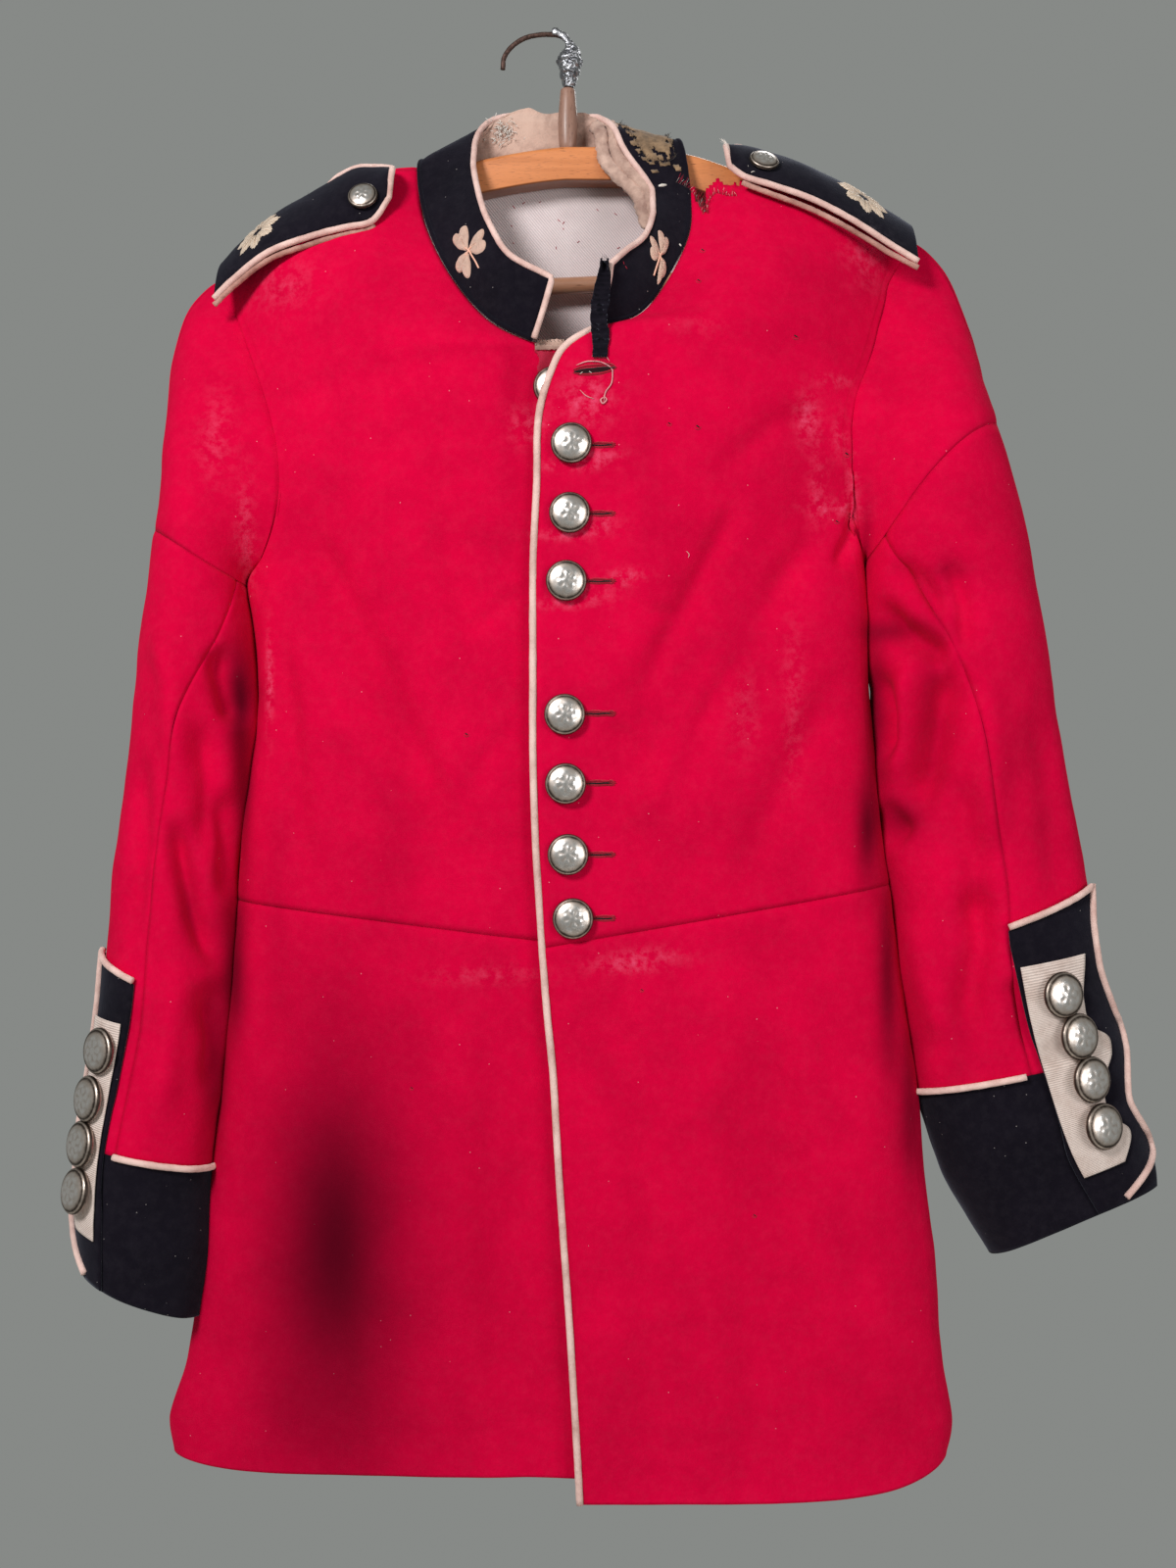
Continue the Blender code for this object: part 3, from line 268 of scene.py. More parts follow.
def silveredMetal():
    # stamped white-metal button, polished by handling, with grime in its hollows and a painted dark
    # reflection round its rim and sides
    made, tree, shader = newMaterial("silvered stamped brass", Metallic=1.0, Roughness=0.22)
    place = addNode(tree, "TexCoord").outputs["Object"]
    dust = addNode(tree, "TexNoise", {"Scale": 300.0, "Detail": 5.0, "Roughness": 0.7}, {"Vector": place})
    grimeAndRimShade = addNode(tree, "Attribute", {"attribute_name": "hollowGrimeAndRimShade"}).outputs["Fac"]
    dirtAndRimShade = addNode(tree, "Math", {"operation": "MULTIPLY_ADD", 1: 0.5, "use_clamp": True},
                    {0: dust.outputs["Fac"], 2: grimeAndRimShade})
    tone = colourRamp(tree, dirtAndRimShade.outputs[0], [(0.35, srgb("#F6EFEB")), (0.7, srgb("#C4B4A8")),
                                               (1.0, srgb("#463C36"))])
    tree.links.new(tone, shader.inputs["Base Color"])
    gloss = addNode(tree, "MapRange", {"From Min": 0.2, "From Max": 1.0, "To Min": 0.2, "To Max": 0.48},
                    {"Value": dirtAndRimShade.outputs[0]})
    tree.links.new(gloss.outputs[0], shader.inputs["Roughness"])
    bump = addNode(tree, "Bump", {"Strength": 0.12, "Distance": 0.0004}, {"Height": dust.outputs["Fac"]})
    tree.links.new(bump.outputs["Normal"], shader.inputs["Normal"])
    return made


buttonMetal = silveredMetal()


def woodGrain(name, pale, deep, line, gloss, stretch, coat):
    # grain runs along X, with short dark pores and a few small knots
    made, tree, shader = newMaterial(name, Roughness=gloss, Coat_Weight=coat, Coat_Roughness=0.25)
    place = addNode(tree, "TexCoord").outputs["Object"]
    drawn = addNode(tree, "Mapping", None, {"Vector": place})
    drawn.inputs["Scale"].default_value = stretch
    rings = addNode(tree, "TexNoise", {"Scale": 60.0, "Detail": 5.0, "Roughness": 0.6, "Distortion": 0.4},
                    {"Vector": drawn.outputs["Vector"]})
    tone = colourRamp(tree, rings.outputs["Fac"], [(0.3, srgb(deep)), (0.5, srgb(pale)), (0.75, srgb(deep))])
    pores = addNode(tree, "TexNoise", {"Scale": 1900.0, "Detail": 2.0}, {"Vector": drawn.outputs["Vector"]})
    cut = addNode(tree, "MapRange", {"From Min": 0.60, "From Max": 0.78}, {"Value": pores.outputs["Fac"]})
    mixed = addNode(tree, "Mix", {"data_type": "RGBA", 7: srgb(line)}, {0: cut.outputs[0], 6: tone})
    # painted shade: the downward faces are darker
    under = addNode(tree, "Attribute", {"attribute_name": "under"}).outputs["Fac"]
    shade = addNode(tree, "Math", {"operation": "MULTIPLY", 1: 0.75}, {0: under})
    shadedUnderside = addNode(tree, "Mix", {"data_type": "RGBA", 7: srgb("#6B3416")}, {0: shade.outputs[0],
                                                                            6: mixed.outputs[2]})
    tree.links.new(shadedUnderside.outputs[2], shader.inputs["Base Color"])
    bump = addNode(tree, "Bump", {"Strength": 0.2, "Distance": 0.0004, "invert": True},
                   {"Height": cut.outputs[0]})
    tree.links.new(bump.outputs["Normal"], shader.inputs["Normal"])
    return made


beech = woodGrain("orange varnished beech", "#DC8850", "#BE6E38", "#864820", 0.38, (0.1, 1.0, 1.0), 0.35)
dowelWood = woodGrain("pale varnished dowel wood", "#BE8C70", "#9A6648", "#74482E", 0.35, (0.1, 1.0, 1.0),
                      0.4)
pegWood = woodGrain("brown stained peg wood", "#9A7464", "#74503F", "#3E241C", 0.45, (1.0, 1.0, 0.12), 0.2)


def metalLook(name, pale, deep, rough, metallic, size, strength):
    made, tree, shader = newMaterial(name, Metallic=metallic, Roughness=rough)
    place = addNode(tree, "TexCoord").outputs["Object"]
    spots = addNode(tree, "TexNoise", {"Scale": size, "Detail": 6.0, "Roughness": 0.7}, {"Vector": place})
    tone = colourRamp(tree, spots.outputs["Fac"], [(0.35, srgb(deep)), (0.65, srgb(pale))])
    tree.links.new(tone, shader.inputs["Base Color"])
    bump = addNode(tree, "Bump", {"Strength": strength, "Distance": 0.0006}, {"Height": spots.outputs["Fac"]})
    tree.links.new(bump.outputs["Normal"], shader.inputs["Normal"])
    return made


rustyWire = metalLook("rust-browned steel wire", "#6A5048", "#33241E", 0.6, 0.7, 500, 0.4)
foil = metalLook("crumpled kitchen foil", "#C4C4C8", "#6E6E74", 0.3, 1.0, 260, 0.9)


# shared builders

def finishPiece(name, mesh, material, nodes):
    data = bpy.data.meshes.new(name)
    mesh.to_mesh(data)
    mesh.free()
    piece = bpy.data.objects.new(name, data)
    bpy.context.scene.collection.objects.link(piece)
    data.materials.append(material)
    data.polygons.foreach_set("use_smooth", [True] * len(data.polygons))
    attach(piece, body)
    if nodes:
        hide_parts(*nodes)
    return piece


# the wall grows inwards from the sheet
def wall(piece, thick):
    made = piece.modifiers.new("wall", "SOLIDIFY")
    made.thickness = thick * mm
    made.offset = -1.0
    made.use_quality_normals = True


# a sheet of cloth: a grid is placed by a function of its two shares, then pressed in along its own normals
def sheetMesh(columns, rows, place, press=None, inside=(0, 0, 0), closed=False, marks=None, size=None,
              cut=None):
    sheet = bmesh.new()
    uv = sheet.loops.layers.uv.new("cloth")
    layers = {mark: sheet.verts.layers.float.new(mark) for mark in marks or {}}
    bmesh.ops.create_grid(sheet, x_segments=columns, y_segments=rows, size=0.5)
    spots = {}
    for vert in sheet.verts:
        spots[vert] = (round(vert.co.x + 0.5, 5), round(vert.co.y + 0.5, 5))
    if size is None:  # the widest and the longest line across the piece, as it would lie flat
        across = [[place(i / 24, k / 6) for i in range(25)] for k in range(7)]
        down = [[place(k / 6, i / 24) for i in range(25)] for k in range(7)]
        size = [max(sum((b - a).length for a, b in zip(line, line[1:])) for line in lines)
                for lines in (across, down)]
    for face in sheet.faces:
        for loop in face.loops:
            u, t = spots[loop.vert]
            loop[uv].uv = (u * size[0], t * size[1])
    for vert, (u, t) in spots.items():
        vert.co = place(u, t) * mm
    if closed:
        bmesh.ops.remove_doubles(sheet, verts=sheet.verts, dist=0.00002)
    bmesh.ops.recalc_face_normals(sheet, faces=sheet.faces)
    turn = sum((f.calc_center_median() - Vector(inside) * mm).dot(f.normal) * f.calc_area()
               for f in sheet.faces)
    if turn < 0:
        bmesh.ops.reverse_faces(sheet, faces=sheet.faces)
    if press:
        sheet.normal_update()
        moves = [(v, v.normal * press(*spots[v], v.co / mm)) for v in sheet.verts]
        for v, move in moves:
            v.co -= move * mm
    for mark, layer in layers.items():
        for v in sheet.verts:
            v[layer] = marks[mark](v.co / mm, *spots[v])
    if cut:  # a hole or a ragged outline: the faces within it go, and the edge left is uneven
        gone = [f for f in sheet.faces if cut(f.calc_center_median() / mm, *spots[f.verts[0]])]
        bmesh.ops.delete(sheet, geom=gone, context="FACES")
        for v in sheet.verts:
            if v.is_boundary and all(0.01 < share < 0.99 for share in spots[v]):
                at = v.co / mm
                v.co += Vector((rough(at.x, at.y, at.z, 1.3), 0, rough(at.z, at.x, at.y, 1.3))) * 0.9 * mm
    return sheet, size


def clothPiece(name, columns, rows, place, thick, material, slot, nodes, held="hung", **more):
    sheet, size = sheetMesh(columns, rows, place, **more)
    area = sum(f.calc_area() for f in sheet.faces)
    outsides.append(BVHTree.FromBMesh(sheet))
    piece = finishPiece(name, sheet, material, nodes)
    wall(piece, thick)
    width, length = (max(value * mm, 0.01) for value in size)
    print(f"{name}: cut {width * 1000:.0f} x {length * 1000:.0f} mm, {area * 10000:.0f} cm2")


outsides = []
# where the camera stands in mm, and the photograph's middle and its pixels to a unit of slope
photoSet = {"camera": (24.1, -1225, -483.2), "middle": (600, 800), "reach": 1932, "lens": 43.47}


# a place in the photograph, in its pixels, at a known depth
def seen(px, py, y):
    (x0, y0, z0), (middleX, middleY) = photoSet["camera"], photoSet["middle"]
    scale = photoSet["reach"] / (y - y0)
    return Vector((x0 + (px - middleX) / scale, y, z0 - (py - middleY) / scale))


# where the photograph's pixel falls on the cloth made so far, and so much in front of it
def photoSpot(px, py, out=0.0):
    (middleX, middleY), reach = photoSet["middle"], photoSet["reach"]
    ray = Vector(((px - middleX) / reach, 1, (middleY - py) / reach)).normalized()
    start = Vector(photoSet["camera"]) * mm
    best = None
    for tree in outsides:
        hit, normal, _, distance = tree.ray_cast(start, ray)
        if hit is not None and (best is None or distance < best[2]):
            best = (hit / mm, normal if normal.dot(ray) < 0 else -normal, distance)
    if best is None:
        return seen(px, py, -40)
    return best[0] + best[1] * out


# a grid rolled round a line of points, with both its ends closed
def addTube(mesh, points, radius, sides, flat=1.0, fuzz=0.0, taper=0.0):
    last = len(points) - 1
    rings = []
    for i, p in enumerate(points):
        ahead = (points[min(i + 1, last)] - points[max(i - 1, 0)]).normalized()
        side = ahead.cross(Vector((0, 1, 0)))
        if side.length < 0.1:
            side = ahead.cross(Vector((0, 0, 1)))
        side.normalize()
        rings.append((p, side, side.cross(ahead).normalized(),
                      radius * (1 - taper * (1 - min(min(i, last - i) / 3, 1)))))
    made = bmesh.ops.create_grid(mesh, x_segments=sides, y_segments=last, size=0.5)["verts"]
    for vert in made:
        p, side, up, size = rings[round((vert.co.y + 0.5) * last)]
        a = 2 * math.pi * (round((vert.co.x + 0.5) * sides) % sides) / sides
        r = size * (1 + fuzz * noise.noise(p / 2.2 + Vector((a * 2, 0, 0))))
        vert.co = (p + side * math.cos(a) * r + up * math.sin(a) * r * flat) * mm
    bmesh.ops.remove_doubles(mesh, verts=made, dist=0.0000001)
    ends = {edge for vert in made if vert.is_valid for edge in vert.link_edges if edge.is_boundary}
    bmesh.ops.holes_fill(mesh, edges=list(ends))


# a round cord of cloth or wire: rings along a line of points
def tubePiece(name, points, radius, material, nodes, sides=10, flat=1.0, fuzz=0.0, taper=0.0):
    mesh = bmesh.new()
    addTube(mesh, points, radius, sides, flat, fuzz, taper)
    bmesh.ops.recalc_face_normals(mesh, faces=mesh.faces)
    return finishPiece(name, mesh, material, nodes)


# many short threads in one mesh, each a line of points with its radius
def threadPiece(name, strands, material, sides=5):
    mesh = bmesh.new()
    for points, radius in strands:
        addTube(mesh, [Vector(p) for p in points], radius, sides, fuzz=0.1, taper=0.6)
    bmesh.ops.recalc_face_normals(mesh, faces=mesh.faces)
    return finishPiece(name, mesh, material, [])


# threads that stand out of a torn edge
def fray(line, away, length, spacing, radius=0.14):
    strands = []
    for a, b in zip(line, line[1:]):
        count = max(1, int((b - a).length / spacing))
        for k in range(count):
            start = a.lerp(b, (k + chance.random()) / count)
            reach = length * chance.uniform(0.3, 1.2)
            bend = Vector((chance.uniform(-1, 1), chance.uniform(-0.7, 0.3), chance.uniform(-1,
                                                                                            1))) * reach * 0.4
            tip = start + away * reach
            strands.append(([start - away * 0.6, start.lerp(tip, 0.5) + bend * 0.4, tip + bend], radius))
    return strands


# camera

camera = bpy.data.objects.new("camera", bpy.data.cameras.new("camera"))
bpy.context.scene.collection.objects.link(camera)
camera.location = [value * mm for value in photoSet["camera"]]
camera.rotation_euler = (math.pi / 2, 0, 0)
camera.data.sensor_width = 36
camera.data.lens = photoSet["lens"]
bpy.context.scene.camera = camera
print("camera placed")


# the body's panels, each a table from the inner edge to the side seam, in mm

panelColumns = "inX inY inZ outX outY outZ side bulge arch lift"
frontLeft = rowTable(
    panelColumns,
    (-2, -73, -583, 214, -24, -546, 1, 0, 0, 1),
    (-6, -75, -516, 208, -24, -505, 1, 0, 0, 1),
    (-7.5, -76, -460, 204, -24, -456, 1, 0, 0, 1),
    (-7.5, -76, -405, 201, -24, -408, 1, 0, 0, 1),
    (-7.5, -76, -365, 200, -25, -372, 0.9, 0, 0, 1),
    (-7, -76, -338, 198, -30, -346, 0.6, 2, 0, 1),
    (-6, -76, -318, 194, -40, -327, 0.3, 4, 0, 1),
    (-5, -76, -296, 190, -47, -306, 0.1, 5, 0, 1),
    (-5, -76, -274, 188, -49, -283, 0, 6, 0, 1),
    (-3, -76, -254, 188, -48, -262, 0, 6, 1, 1),
    (3, -76, -234, 192, -44, -241, 0, 6, 2, 1),
    (12, -75, -217, 199, -37, -223, 0, 6, 3, 1),
    (31, -72, -205, 205, -30, -205, 0, 8, 4, 1),
    (55, -63, -195, 209, -24, -190, 0, 9, 6, 1),
    (71.5, -54, -174.5, 213, -18, -176, 0, 10, 8, 1),
    (87.5, -38, -139.5, 216, -13, -164, 0, 9, 10, 1),
    (89.5, -25, -110, 224, -9, -149, 0, 8, 13, 1),
    (88, -11, -79, 232, -4, -134, 0, 3, 16, 1),
)
frontRight = rowTable(
    panelColumns,
    (24, -69, -583, -197, -24, -556, 1, 0, 0, 1),
    (22, -70, -525, -194, -24, -512, 1, 0, 0, 1),
    (20, -71, -470, -189, -24, -470, 1, 0, 0, 1),
    (20, -71, -425, -184, -24, -428, 1, 0, 0, 1),
    (20, -71, -385, -186, -25, -388, 0.9, 0, 0, 1),
    (20, -71, -350, -190, -30, -358, 0.6, 2, 0, 1),
    (20, -71, -325, -179, -42, -341, 0.3, 3, 0, 1),
    (20, -71, -300, -171, -48, -320, 0.1, 4, 0, 1),
    (20, -71, -272, -168, -50, -297, 0, 5, 0, 1),
    (20, -70, -245, -170, -48, -272, 0, 6, 1, 1),
    (18, -70, -218, -176, -43, -248, 0, 6, 2, 1),
    (-9, -72, -213, -184, -36, -226, 0, 6, 3, 1),
    (-35, -65, -200, -192, -28, -205, 0, 8, 4, 1),
    (-54, -54, -178, -198, -21, -190, 0, 10, 6, 1),
    (-71, -41, -150, -203, -15, -178, 0, 12, 8, 1),
    (-81, -26, -121, -207, -10, -167, 0, 10, 12, 1),
    (-85, -9, -88, -211, -4, -158, 0, 3, 17, 1),
)
backLeft = rowTable(
    panelColumns,
    (4, 17, -575, 214, -24, -546, 1, 0, 0, 1),
    (4, 17, -515, 208, -24, -505, 1, 0, 0, 1),
    (4, 17, -460, 204, -24, -456, 1, 0, 0, 1),
    (4, 17, -405, 201, -24, -408, 1, 0, 0, 1),
    (4, 17, -365, 200, -25, -372, 0.95, 0, 0, 1),
    (4, 17, -330, 198, -29, -346, 0.8, 0, 0, 1),
    (4, 17, -300, 198, -10, -324, 0.3, 0, 0, 1),
    (4, 17, -255, 195, 8, -285, 0, 0, 0, 1),
    (4, 17, -205, 193, 13, -240, 0, 0, 0, 1),
    (4, 17, -150, 199, 13, -200, 0, 0, 1, 1),
    (4, 17, -98, 208, 14, -168, 0, 0, 4, 1),
    (36, 17, -96, 213, 13, -156, 0, 0, 8, 1),
    (68, 17, -83, 222, 13, -145, 0, 0, 13, 1),
    (82, 7, -74, 229, 5, -136, 0, 0, 16, 1),
    (88, -9, -76.6, 233, -2.6, -133, 0, 3, 16, 1),
)
backRight = rowTable(
    panelColumns,
    (4, 17, -575, -197, -24, -556, 1, 0, 0, 1),
    (4, 17, -515, -194, -24, -512, 1, 0, 0, 1),
    (4, 17, -460, -189, -24, -470, 1, 0, 0, 1),
    (4, 17, -405, -184, -24, -428, 1, 0, 0, 1),
    (4, 17, -365, -186, -25, -388, 0.95, 0, 0, 1),
    (4, 17, -330, -190, -29, -358, 0.8, 0, 0, 1),
    (4, 17, -300, -194, -8, -338, 0.3, 0, 0, 1),
    (4, 17, -255, -192, 9, -300, 0, 0, 0, 1),
    (4, 17, -205, -190, 13, -255, 0, 0, 0, 1),
    (4, 17, -150, -194, 13, -215, 0, 0, 1, 1),
    (4, 17, -98, -203, 14, -182, 0, 0, 4, 1),
    (-30, 17, -96, -207, 13, -170, 0, 0, 8, 1),
    (-65, 17, -86, -210, 13, -162, 0, 0, 14, 1),
    (-80, 7, -84, -212, 5, -158, 0, 0, 17, 1),
    (-85, -7, -86, -212, -3, -157.5, 0, 3, 17, 1),
)
skirtFrontLeft = rowTable(
    panelColumns,
    (-2, -73, -583, 214, -24, -546, 1, 0, 0, 1),
    (1, -73, -622, 224, -24, -622, 1, 0, 0, 1),
    (5, -72, -664, 231, -24, -668, 1, 0, 0, 1),
    (8.5, -71, -725, 237, -24, -728, 1, 0, 0, 1),
    (12, -70, -774, 243, -24, -785, 1, 0, 0, 1),
    (16, -68, -834, 248, -24, -846, 1, 0, 0, 1),
    (19, -66, -886, 254, -24, -884, 1, 0, 0, 2),
    (21, -65, -925, 250, -27, -904, 1, 0, 0, 8),
)
skirtFrontRight = rowTable(
    panelColumns,
    (24, -69, -583, -197, -24, -556, 1, 0, 0, 1),
    (25, -69, -622, -201, -24, -616, 1, 0, 0, 1),
    (26, -68, -664, -206, -24, -668, 1, 0, 0, 1),
    (26, -67, -725, -214, -24, -729, 1, 0, 0, 1),
    (26, -65, -787, -220, -24, -787, 1, 0, 0, 1),
    (26, -63, -834, -229, -24, -843, 1, 0, 0, 1),
    (26, -62, -876, -240, -24, -882, 1, 0, 0, 2),
    (26, -61, -912, -236, -27, -902, 1, 0, 3, 8),
)
buttonSpots = rowTable("x z", (3, -240), (14, -277), (13, -319), (11, -360), (10, -441), (10.5, -483),
                       (12, -526),
                       (15, -565))
clothSet = {"wool": 2.0, "lining": 1.2, "trim": 1.4, "underlap": 3.2, "firstSink": 7.0}

# the broad folds that the solids have too
broadFolds = rowTable(
    "x0 z0 x1 z1 depth wide",
    (112, -330, 30, -510, 5, 24),
    (168, -290, 92, -470, 4, 26),
    (70, -300, 48, -420, -3, 22),
    (-150, -320, -52, -560, 4, 26),
    (-95, -300, -30, -520, -3, 26),
    (40, -640, 50, -900, -5, 34),
    (120, -600, 140, -900, 5, 36),
    (200, -640, 214, -880, -4, 30),
    (-60, -620, -70, -890, -4, 34),
    (-130, -600, -140, -880, 6, 38),
)


def broadDepth(x, z):
    total = 0.0
    for f in broadFolds:
        runX, runZ = f["x1"] - f["x0"], f["z1"] - f["z0"]
        length = math.hypot(runX, runZ)
        t = ((x - f["x0"]) * runX + (z - f["z0"]) * runZ) / length**2
        across = ((x - f["x0"]) * runZ - (z - f["z0"]) * runX) / length
        ends = min(max(min(t, 1 - t) * 3 + 0.4, 0), 1)
        total += f["depth"] * math.exp(-((across / f["wide"]) ** 2)) * ends * ends * (3 - 2 * ends)
    return total


def panelPoint(rows, at, u, folds=1.0, under=0.0):
    v = {name: along(rows, name, at) for name in panelColumns.split()}
    u = min(max(u, 0), 1)
    x = v["inX"] + (v["outX"] - v["inX"]) * u
    z = v["inZ"] + (v["outZ"] - v["inZ"]) * u ** v["lift"] + v["arch"] * 4 * u * (1 - u)
    flat = v["side"] * (1 - u**3) ** (1 / 3) + (1 - v["side"]) * (1 - u**2.2)
    y = v["outY"] + (v["inY"] - v["outY"]) * flat - v["bulge"] * 4 * u * (1 - u)
    inside = min(1, 6 * (1 - u)) * folds
    if inside:
        y += broadDepth(x, z) * inside
    if under:
        loose = clothSet["firstSink"] * math.exp(-(((z - buttonSpots[0]["z"]) / 24) ** 2))
        y += (under + loose) / (1 + math.exp(-(x + 22) / 4))
    return Vector((x, y, z))


def panelAt(rows, x, z, folds=0.0, under=0.0):
    at, u = 8.0, 0.1
    for _ in range(40):
        here = panelPoint(rows, at, u, folds, under)
        at = min(max(at + (z - here.z) / 50, 0), len(rows) - 1)
        u = min(max(u + (x - here.x) / (rows[3]["outX"] - rows[3]["inX"]), 0), 1)
    return here


creaseSet = {"body": 3.3, "sleeve": 2.1}
creaseColumns = "line deep wide"
# finer creases, set out on the photograph's front, as lines in X and Z
frontCreases = rowTable(
    creaseColumns,
    (((172, -318), (120, -392), (62, -500)), 1.6, 9),
    (((150, -345), (96, -430), (44, -528)), -1.0, 8),
    (((120, -300), (92, -360), (50, -440)), 1.0, 7),
    (((190, -400), (150, -470), (110, -560)), 1.2, 12),
    (((180, -250), (140, -262), (96, -300)), 0.9, 9),
    (((-160, -305), (-110, -400), (-48, -540)), 1.5, 10),
    (((-140, -420), (-95, -490), (-40, -560)), -0.9, 8),
    (((-70, -260), (-60, -340), (-40, -420)), 1.0, 10),
    (((-168, -380), (-158, -460), (-150, -550)), 1.3, 9),
    (((36, -362), (60, -378), (84, -380)), 0.6, 5),
    (((34, -444), (56, -462), (70, -492)), 0.7, 5),
    (((30, -484), (52, -512), (60, -545)), 0.7, 5),
    (((-16, -440), (-40, -470), (-58, -520)), 0.7, 6),
    (((-14, -360), (-34, -380), (-52, -392)), 0.6, 5),
    (((196, -300), (188, -330), (176, -352)), 1.3, 5),
)
skirtCreases = rowTable(
    creaseColumns + " blunt",
    (((34, -600), (60, -720), (62, -900)), 1.4, 14, 0.3),
    (((150, -590), (166, -720), (180, -890)), -1.2, 13, 0.3),
    (((90, -640), (104, -760), (106, -910)), -1.0, 16, 0.3),
    (((-30, -600), (-34, -740), (-28, -900)), 1.2, 14, 0.3),
    (((-100, -600), (-112, -740), (-108, -890)), -1.3, 16, 0.3),
    (((-170, -590), (-180, -720), (-196, -880)), 1.3, 13, 0.3),
)
backCreases = rowTable(
    creaseColumns,
    (((150, -300), (96, -380), (40, -520)), 2.0, 13),
    (((-146, -310), (-90, -400), (-34, -530)), 1.8, 12),
    (((120, -190), (70, -250), (30, -360)), -1.3, 14),
    (((-110, -200), (-74, -260), (-24, -350)), -1.2, 13),
    (((180, -340), (160, -420), (150, -540)), 1.4, 11),
    (((-170, -350), (-150, -450), (-120, -550)), 1.3, 11),
)


# a seam is a groove with the turned cloth raised beside it
def seamDepth(distance):
    return 0.5 * math.exp(-((distance / 1.3) ** 2)) - 0.2 * math.exp(-(((distance - 5) / 3) ** 2))


def edgePress(rows, top, seams, creases, pucker):
    # seams names the sewn edges of the panel: in, out, top, bottom
    def press(u, t, here):
        at = t * top
        total = creaseDepth(creases, here.x, here.z) * creaseSet["body"]
        total += 1.1 * rough(here.x, 7, here.z, 55) + 0.35 * rough(here.x, 3, here.z, 17)
        wide = abs(along(rows, "outX", at) - along(rows, "inX", at))
        tall = abs(rows[0]["inZ"] - rows[-1]["inZ"])
        if "out" in seams:
            total += seamDepth((1 - u) ** 0.6 * wide * 0.6 if u > 0.97 else (1 - u) * wide)
        if "in" in seams:
            total += seamDepth(u * wide)
        if "bottom" in seams:
            total += seamDepth(t * tall * 0.8)
            total += pucker * math.exp(-t * tall / 14) * rough(here.x, 1, 0, 9)
        if "top" in seams:
            total += seamDepth((1 - t) * tall * 0.8)
            total += pucker * math.exp(-(1 - t) * tall / 14) * rough(here.x, 1, 0, 9)
        return total
    return press


# rubbed and pilled places, as X, Z, half width, half height and strength
wornFront = [
    (176, -313, 16, 5, 0.6), (166, -300, 5, 22, 0.4), (180, -268, 5, 12, 0.4), (188, -300, 4, 20, 0.5),
    (48, -357, 12, 4, 0.6), (44, -360, 4, 3, 0.9), (160, -258, 7, 14, 0.7), (178, -233, 12, 4, 0.4),
    (-174, -420, 2.2, 26, 0.9), (-206, -268, 9, 24, 0.35), (-188, -330, 5, 30, 0.5), (150, -420, 6, 34, 0.25),
    (30, -285, 13, 5, 0.6), (29, -326, 13, 5, 0.6), (27, -368, 13, 5, 0.5), (24, -250, 14, 14, 0.7),
    (12, -290, 16, 3, 0.7), (11, -332, 16, 3, 0.7), (9, -374, 16, 3, 0.6), (90, -205, 16, 5, 0.15),
    (-12, -264, 10, 10, 0.6), (60, -588, 22, 5, 0.5), (46, -594, 18, 4, 0.6), (-36, -600, 30, 5, 0.3),
    (200, -150, 12, 16, 0.4), (-168, -170, 20, 16, 0.3), (150, -465, 6, 22, 0.15), (120, -440, 8, 20, 0.25),
]
# painted shade: soft dark places in the creases beside the sleeves and in folds, and a large painted shadow
# on the wearer's right skirt
paintedShadeFront = [
    (236, -436, 9, 44, 0.4), (220, -504, 14, 13, 0.55), (203, -440, 7, 40, 0.75), (212, -388, 18, 8, 0.6),
    (197, -512, 8, 34, 0.8), (210, -600, 7, 60, 0.75), (224, -680, 8, 50, 0.65), (254, -640, 8, 34, 0.2),
    (246, -352, 12, 5, 0.3), (-196, -600, 8, 46, 0.7), (-193, -424, 8, 28, 0.65), (-191, -480, 6, 60, 0.65),
    (-208, -660, 7, 50, 0.55), (-222, -548, 6, 34, 0.25), (198, -330, 4, 22, 0.4), (-168, -560, 8, 60, 0.12),
    (-133, -765, 38, 84, 0.5), (-126, -790, 68, 168, 0.45), (-128, -690, 40, 60, 0.1), (-160, -880, 60, 60,
                                                                                        0.15),
    (-92, -470, 12, 80, 0.1), (120, -420, 14, 80, 0.1), (60, -300, 10, 60, 0.08),
]


def wornAt(here, u=0, t=0):
    total = 0.03
    if here.y < -8:
        for x, z, wide, tall, amount in wornFront:
            total += amount * math.exp(-(((here.x - x) / wide) ** 2) - ((here.z - z) / tall) ** 2)
    else:
        total += 0.10 * soft(rough(here.x, 40, here.z, 70) * 2 - 0.3)
    return min(total, 1)


# painted shade and painted shadow on the front, from the spots above
def paintedShadeAt(here, u=0, t=0):
    total = 0
    if here.y < -8:
        for x, z, wide, tall, amount in paintedShadeFront:
            total += amount * math.exp(-(((here.x - x) / wide) ** 2) - ((here.z - z) / tall) ** 2)
    return min(total, 1)


clothMarks = {"worn": wornAt, "dark": paintedShadeAt}


def sidewise(u):
    # the grid is closer together near the side seam, where the cloth turns
    return 1 - (1 - u) ** 1.9


# the rip on the wearer's left shoulder, open at the top edge, through both panels
tear = [(84, -60), (84, -92), (90, -99), (93, -117), (97, -125), (100, -104), (106, -100), (113, -103),
        (121, -104),
        (124, -60)]


def inTear(here, u, t):
    x = here.x + 1.1 * rough(here.x, here.z, 5, 4)
    z = here.z + 1.6 * rough(here.z, here.x, 9, 4)
    crossings = 0
    for (ax, az), (bx, bz) in zip(tear, tear[1:] + tear[:1]):
        if (az > z) != (bz > z) and x < ax + (z - az) * (bx - ax) / (bz - az):
            crossings += 1
    return crossings % 2 == 1


